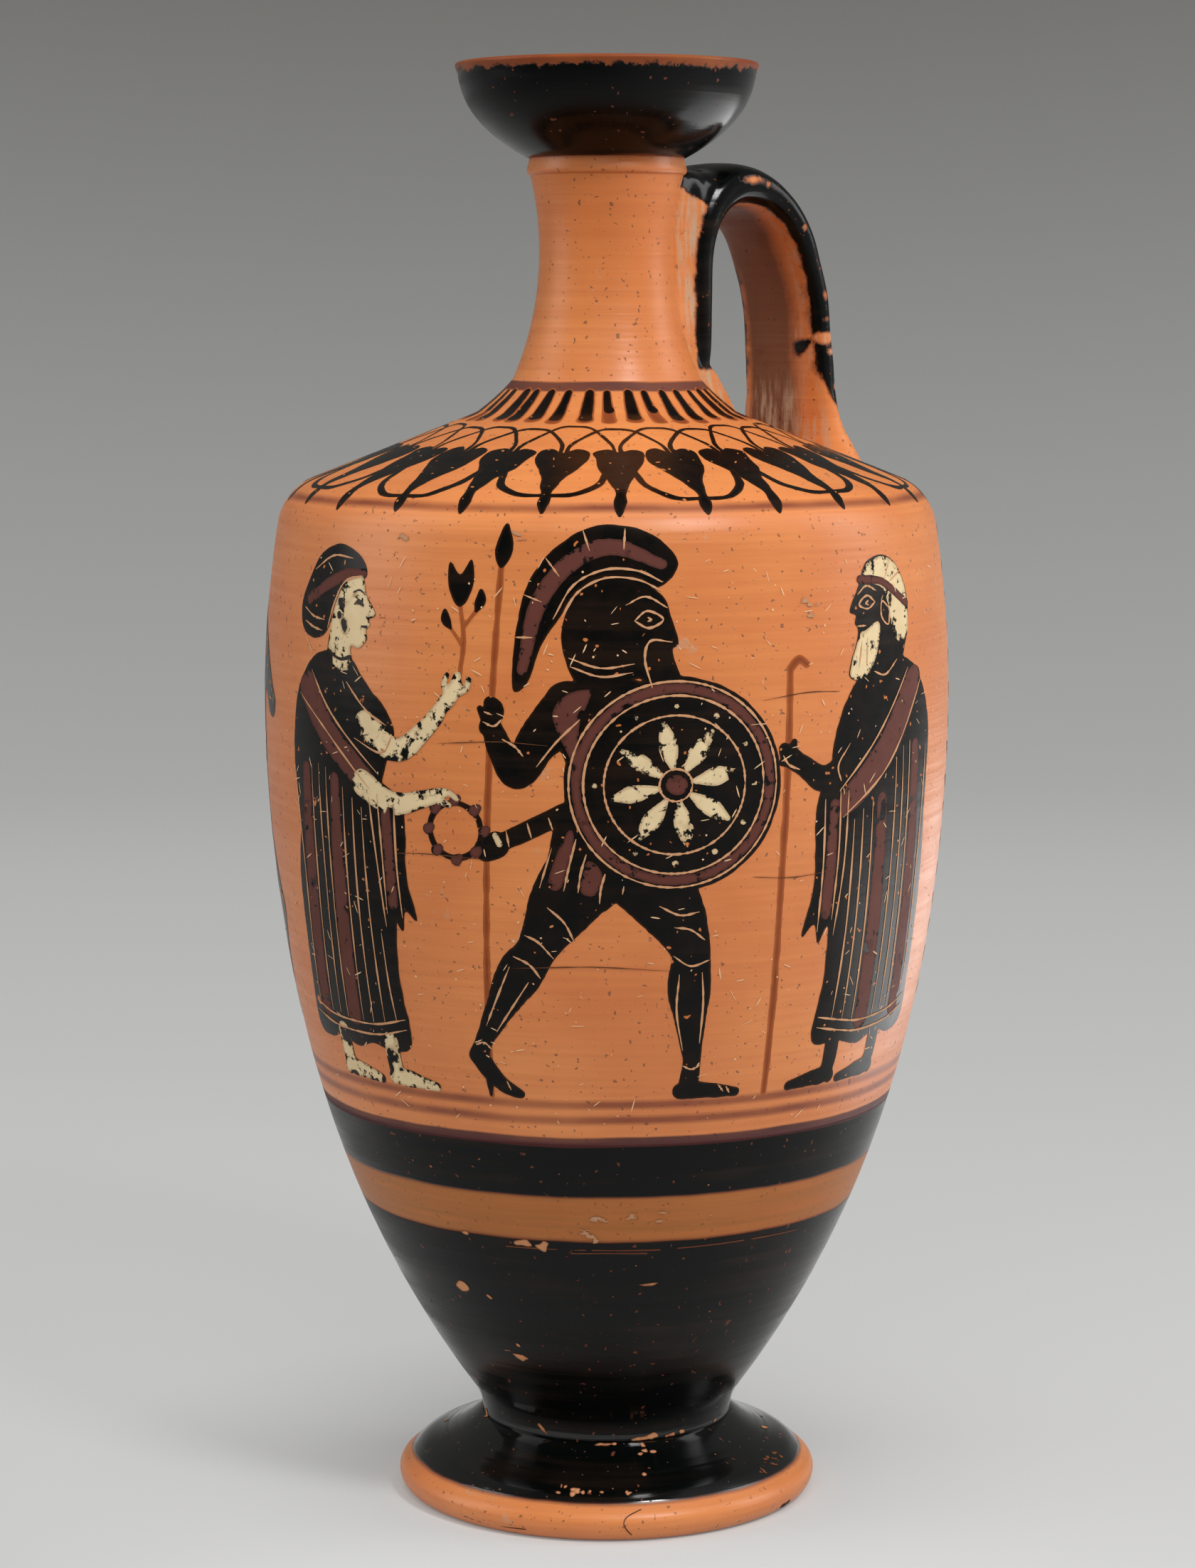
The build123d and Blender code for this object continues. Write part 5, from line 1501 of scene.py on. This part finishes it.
# %% Geometry Nodes: strew marks over a surface
def strew_tree():
    """Strews flat marks over a surface; each lies against it and turns up to `Turn` radians from level."""
    numbers = ("Density", "Shortest", "Longest", "Finest", "Widest", "Turn", "Lift")
    tree = new_tree("strew_marks", "GeometryNodeTree", outputs=[("Geometry", SHAPE)], inputs=[
        ("Surface", SHAPE), *[(label, NUMBER) for label in numbers], ("Seed", WHOLE), ("Finish", FINISH)])
    given = add(tree, "NodeGroupInput").outputs
    points = add(tree, "GeometryNodeDistributePointsOnFaces", {
        "Mesh": given["Surface"], "Density": given["Density"], "Seed": given["Seed"]})
    normal = points.outputs["Normal"]
    level = add(tree, VECTOR, {0: (0, 0, 1), 1: normal}, operation="CROSS_PRODUCT")
    facing = add(tree, ALIGN, {"Vector": normal}, axis="Z")
    facing = add(tree, ALIGN, {"Rotation": facing, "Vector": level}, axis="X", pivot_axis="Z")
    back = add(tree, MATH, {0: given["Turn"], 1: -1.0}, operation="MULTIPLY")
    turn = add(tree, RANDOM, {2: back, 3: given["Turn"], "Seed": 1})
    facing = add(tree, "FunctionNodeRotateRotation",
                 {"Rotation": facing, "Rotate By": add(tree, JOIN, {2: turn})}, rotation_space="LOCAL")
    long = add(tree, RANDOM, {2: given["Shortest"], 3: given["Longest"], "Seed": 2})
    wide = add(tree, RANDOM, {2: given["Finest"], 3: given["Widest"], "Seed": 3})
    size = add(tree, JOIN, {0: long, 1: wide, 2: 1.0})
    mark = add(tree, "GeometryNodeMeshCircle", {"Vertices": 6, "Radius": 0.5}, fill_type="NGON")
    rise = add(tree, JOIN, {2: given["Lift"]})
    mark = add(tree, "GeometryNodeTransform", {"Geometry": mark, "Translation": rise})
    placed = add(tree, "GeometryNodeInstanceOnPoints", {
        "Points": points, "Instance": mark, "Rotation": facing, "Scale": size})
    close_tree(tree, placed, given["Finish"])
    return tree


strew = strew_tree()
print("strew tree nodes:", len(strew.nodes))

# %% Scratches, specks and pits on the wall
worn_pale = slip_material("clay_scratched_pale", "#DFB991", "#C79A70", 0.3, 0.8, wear=False)
SIDES = 96


def strew_marks(name, low, high, finish, per_cm2, length, width, turn, lift, seed):
    """Strews marks on the wall between two heights; sizes in mm."""
    verts, faces = spin(wall[(wall_z > low) & (wall_z < high)][::8], SIDES)
    zone = bpy.data.meshes.new(name)
    zone.from_pydata(verts, [], faces[:-SIDES])
    values = {"Density": per_cm2 * 1e4, "Turn": turn, "Seed": seed, "Finish": finish, "Lift": lift * MM,
              "Shortest": length[0] * MM, "Longest": length[1] * MM,
              "Finest": width[0] * MM, "Widest": width[1] * MM}
    return lay(run_tree(name, strew, values, start=zone), finish, "clay")


scratches = strew_marks("fine_scratches", 66, 150, worn_pale, 2.2, (0.5, 2.2), (0.09, 0.22), 1.4, 0.125, 51)
specks = strew_marks("pale_specks", 66, 150, worn_pale, 1.6, (0.15, 0.45), (0.12, 0.35), 1.5, 0.13, 52)
pits = strew_marks("gloss_pits", 16, 62, bare_chip, 0.5, (0.15, 0.6), (0.12, 0.4), 1.5, 0.06, 53)
print("marks:", [len(piece.data.polygons) for piece in (scratches, specks, pits)])

# %% Long hairlines on the picture
HAIRLINES = [[(-34, 36), (-26, 36.5), (-17, 36.2)], [(-14, 20.4), (-2, 20.9), (9, 20.2)],
             [(21, 33.5), (28, 33), (36, 33.6)], [(-24, 52.6), (-15, 53.2), (-8, 52.8)],
             [(22, 58.8), (29, 59.6), (35, 59.4)], [(80, 52), (92, 53), (108, 52)],
             [(-128, 30), (-118, 30.8), (-106, 30.2)]]
lay(scratch_mesh("hairlines", HAIRLINES, width=0.13, seed=54), crack_line, "clay")
print("hairlines:", len(HAIRLINES))

# %% [markdown]
# ## Floor, light and camera
# The pot stands on a seamless pale sweep that greys upwards, and darkens towards the camera, which
# stands outside the light. Soft boxes at both sides and a small bright one in front give the gloss its
# highlights, two fills open the shadows without being mirrored, and a glowing card on the floor at the
# right draws the long sheen on that side. The camera repeats the photograph's view: 583 mm from the
# axis, a little below the mouth, turned 50 degrees from the front.

# %% Graded paper
def sweep_material():
    """Graded paper; part of what the eye sees of it glows evenly, which keeps the pot's shadow faint."""
    made, tree = new_material("paper_sweep")
    along = add(tree, CARRIED, attribute_name="sweep").outputs["Fac"]
    ramp = add(tree, "ShaderNodeValToRGB", {0: along})
    stops = [(0.0, "#D8D8D7"), (0.06, "#CCCCCB"), (0.18, "#C1C1C0"), (0.31, "#BCBCBB"), (0.6, "#9F9F9E"),
             (0.92, "#6B6A66"), (1.0, "#696968")]
    # A new ramp already has its two ends.
    for place, _ in stops[1:-1]:
        ramp.color_ramp.elements.new(place)
    for stop, (place, code) in zip(ramp.color_ramp.elements, stops):
        stop.position, stop.color = place, paint(code)
    shader = add(tree, "ShaderNodeBsdfPrincipled", {"Base Color": ramp, "Roughness": 0.9})
    glow = add(tree, "ShaderNodeEmission", {0: ramp})
    rays = add(tree, "ShaderNodeLightPath").outputs
    seen = add(tree, MATH, {0: rays["Is Camera Ray"], 1: rays["Is Glossy Ray"]}, operation="ADD")
    seen = add(tree, MATH, {0: seen, 1: rays["Is Transmission Ray"]}, operation="ADD", use_clamp=True)
    even = add(tree, CARRIED, attribute_name="glow").outputs["Fac"]
    share = add(tree, MATH, {0: seen, 1: even}, operation="MULTIPLY")
    both = add(tree, "ShaderNodeMixShader", {0: share, 1: shader, 2: glow})
    add(tree, "ShaderNodeOutputMaterial", {0: both})
    return made


paper = sweep_material()
print("paper nodes:", len(paper.node_tree.nodes))

# %% The seamless sweep
CAMERA_TURN, CAMERA_AWAY, CAMERA_HEIGHT, CAMERA_PITCH, CAMERA_AIM = 50.0, 583.0, 182.6, 7.05, 0.139
SWEEP_RADIUS, SWEEP_BEND, SWEEP_TOP = 900.0, 500.0, 3000.0
sweep_line = [(0.0, 0.0)] + [(r, 0.0) for r in np.linspace(60, SWEEP_RADIUS, 29)]
sweep_line += [(SWEEP_RADIUS + SWEEP_BEND * math.sin(a), SWEEP_BEND * (1 - math.cos(a)))
               for a in np.linspace(0.1, math.pi / 2, 16)]
sweep_line += [(SWEEP_RADIUS + SWEEP_BEND, SWEEP_TOP)]
verts, faces = spin(sweep_line, 96)
mesh = new_mesh("floor_sweep", verts, [face[::-1] for face in faces])
x, y, z = np.array([v.co for v in mesh.vertices]).T / MM
away = np.hypot(x, y)
behind = y * math.cos(math.radians(CAMERA_TURN)) - x * math.sin(math.radians(CAMERA_TURN))
# The grade is 0 on the palest paper and 1 on the darkest: behind the pot, up the wall, towards the camera.
grey = 0.6 * np.clip((behind + 130) / 1530, 0, 1) + 0.32 * np.clip(z / 420, 0, 1)
toward = np.cos(np.arctan2(x, -y) - math.radians(CAMERA_TURN - 35))
unlit = np.clip((toward + 0.35) / 1.2, 0, 1) ** 1.5 * np.clip((away - 80) / 420, 0, 1)
glow = 0.7 * np.clip(away / 90, 0, 1)
for label, values in (("sweep", grey + unlit * (1 - grey)), ("glow", glow)):
    mesh.attributes.new(label, "FLOAT", "POINT").data.foreach_set("value", values)
mesh.materials.append(paper)
floor = new_object("floor_sweep", mesh)
print("sweep faces:", len(mesh.polygons))

# %% Soft boxes
def round_the_pot(turn, away, height):
    """A place `turn` degrees round from the front, as the camera turns; mm to metres."""
    a = math.radians(turn)
    return Vector((math.sin(a) * away, -math.cos(a) * away, height)) * MM


def soft_box(name, turn, away, height, width, tall, power, mirrored=True):
    """An area lamp aimed at the pot's middle; a fill that is not `mirrored` lights without a highlight."""
    light = bpy.data.lights.new(name, "AREA")
    light.shape, light.size, light.size_y, light.energy = "RECTANGLE", width * MM, tall * MM, power
    made = new_object(name, light)
    made.location = round_the_pot(turn, away, height)
    made.rotation_euler = (Vector((0, 0, 110)) * MM - made.location).to_track_quat("-Z", "Y").to_euler()
    made.visible_glossy = mirrored
    return made


soft_box("box_right", CAMERA_TURN + 94, 900, 520, 300, 620, 2.9)
soft_box("box_left", CAMERA_TURN - 84, 950, 520, 500, 900, 3.4)
soft_box("box_front", CAMERA_TURN + 34, 840, 980, 220, 220, 7.4)
soft_box("box_near", CAMERA_TURN - 10, 900, 900, 800, 700, 5.6, mirrored=False)
soft_box("box_top", CAMERA_TURN, 120, 1300, 900, 900, 5.4, mirrored=False)
# The card lies on the floor and faces up, outside the picture and along its right edge.
CARD_SLANT = 11.6
card = soft_box("card_right", CAMERA_TURN + 132, 446, 4, 260, 620, 1.3)
card.rotation_euler = (math.pi, 0, math.radians(CAMERA_TURN - CARD_SLANT))
card.visible_camera = False
scene = bpy.context.scene

# %% Dim room and camera
room = bpy.data.worlds.new("dim_room")
room.use_nodes = True
room.node_tree.nodes["Background"].inputs[0].default_value = paint("#B8B8B8")
room.node_tree.nodes["Background"].inputs[1].default_value = 0.2
scene.world = room
scene.view_settings.view_transform = "Standard"
lens = bpy.data.cameras.new("photo_view")
lens.lens, lens.sensor_width = 87.4, 36.0
camera = new_object("photo_view", lens)
camera.location = round_the_pot(CAMERA_TURN, CAMERA_AWAY, CAMERA_HEIGHT)
camera.rotation_euler = [math.radians(a) for a in (90 - CAMERA_PITCH, 0, CAMERA_TURN + CAMERA_AIM)]
scene.camera = camera
print("camera looks down %.1f degrees" % CAMERA_PITCH)
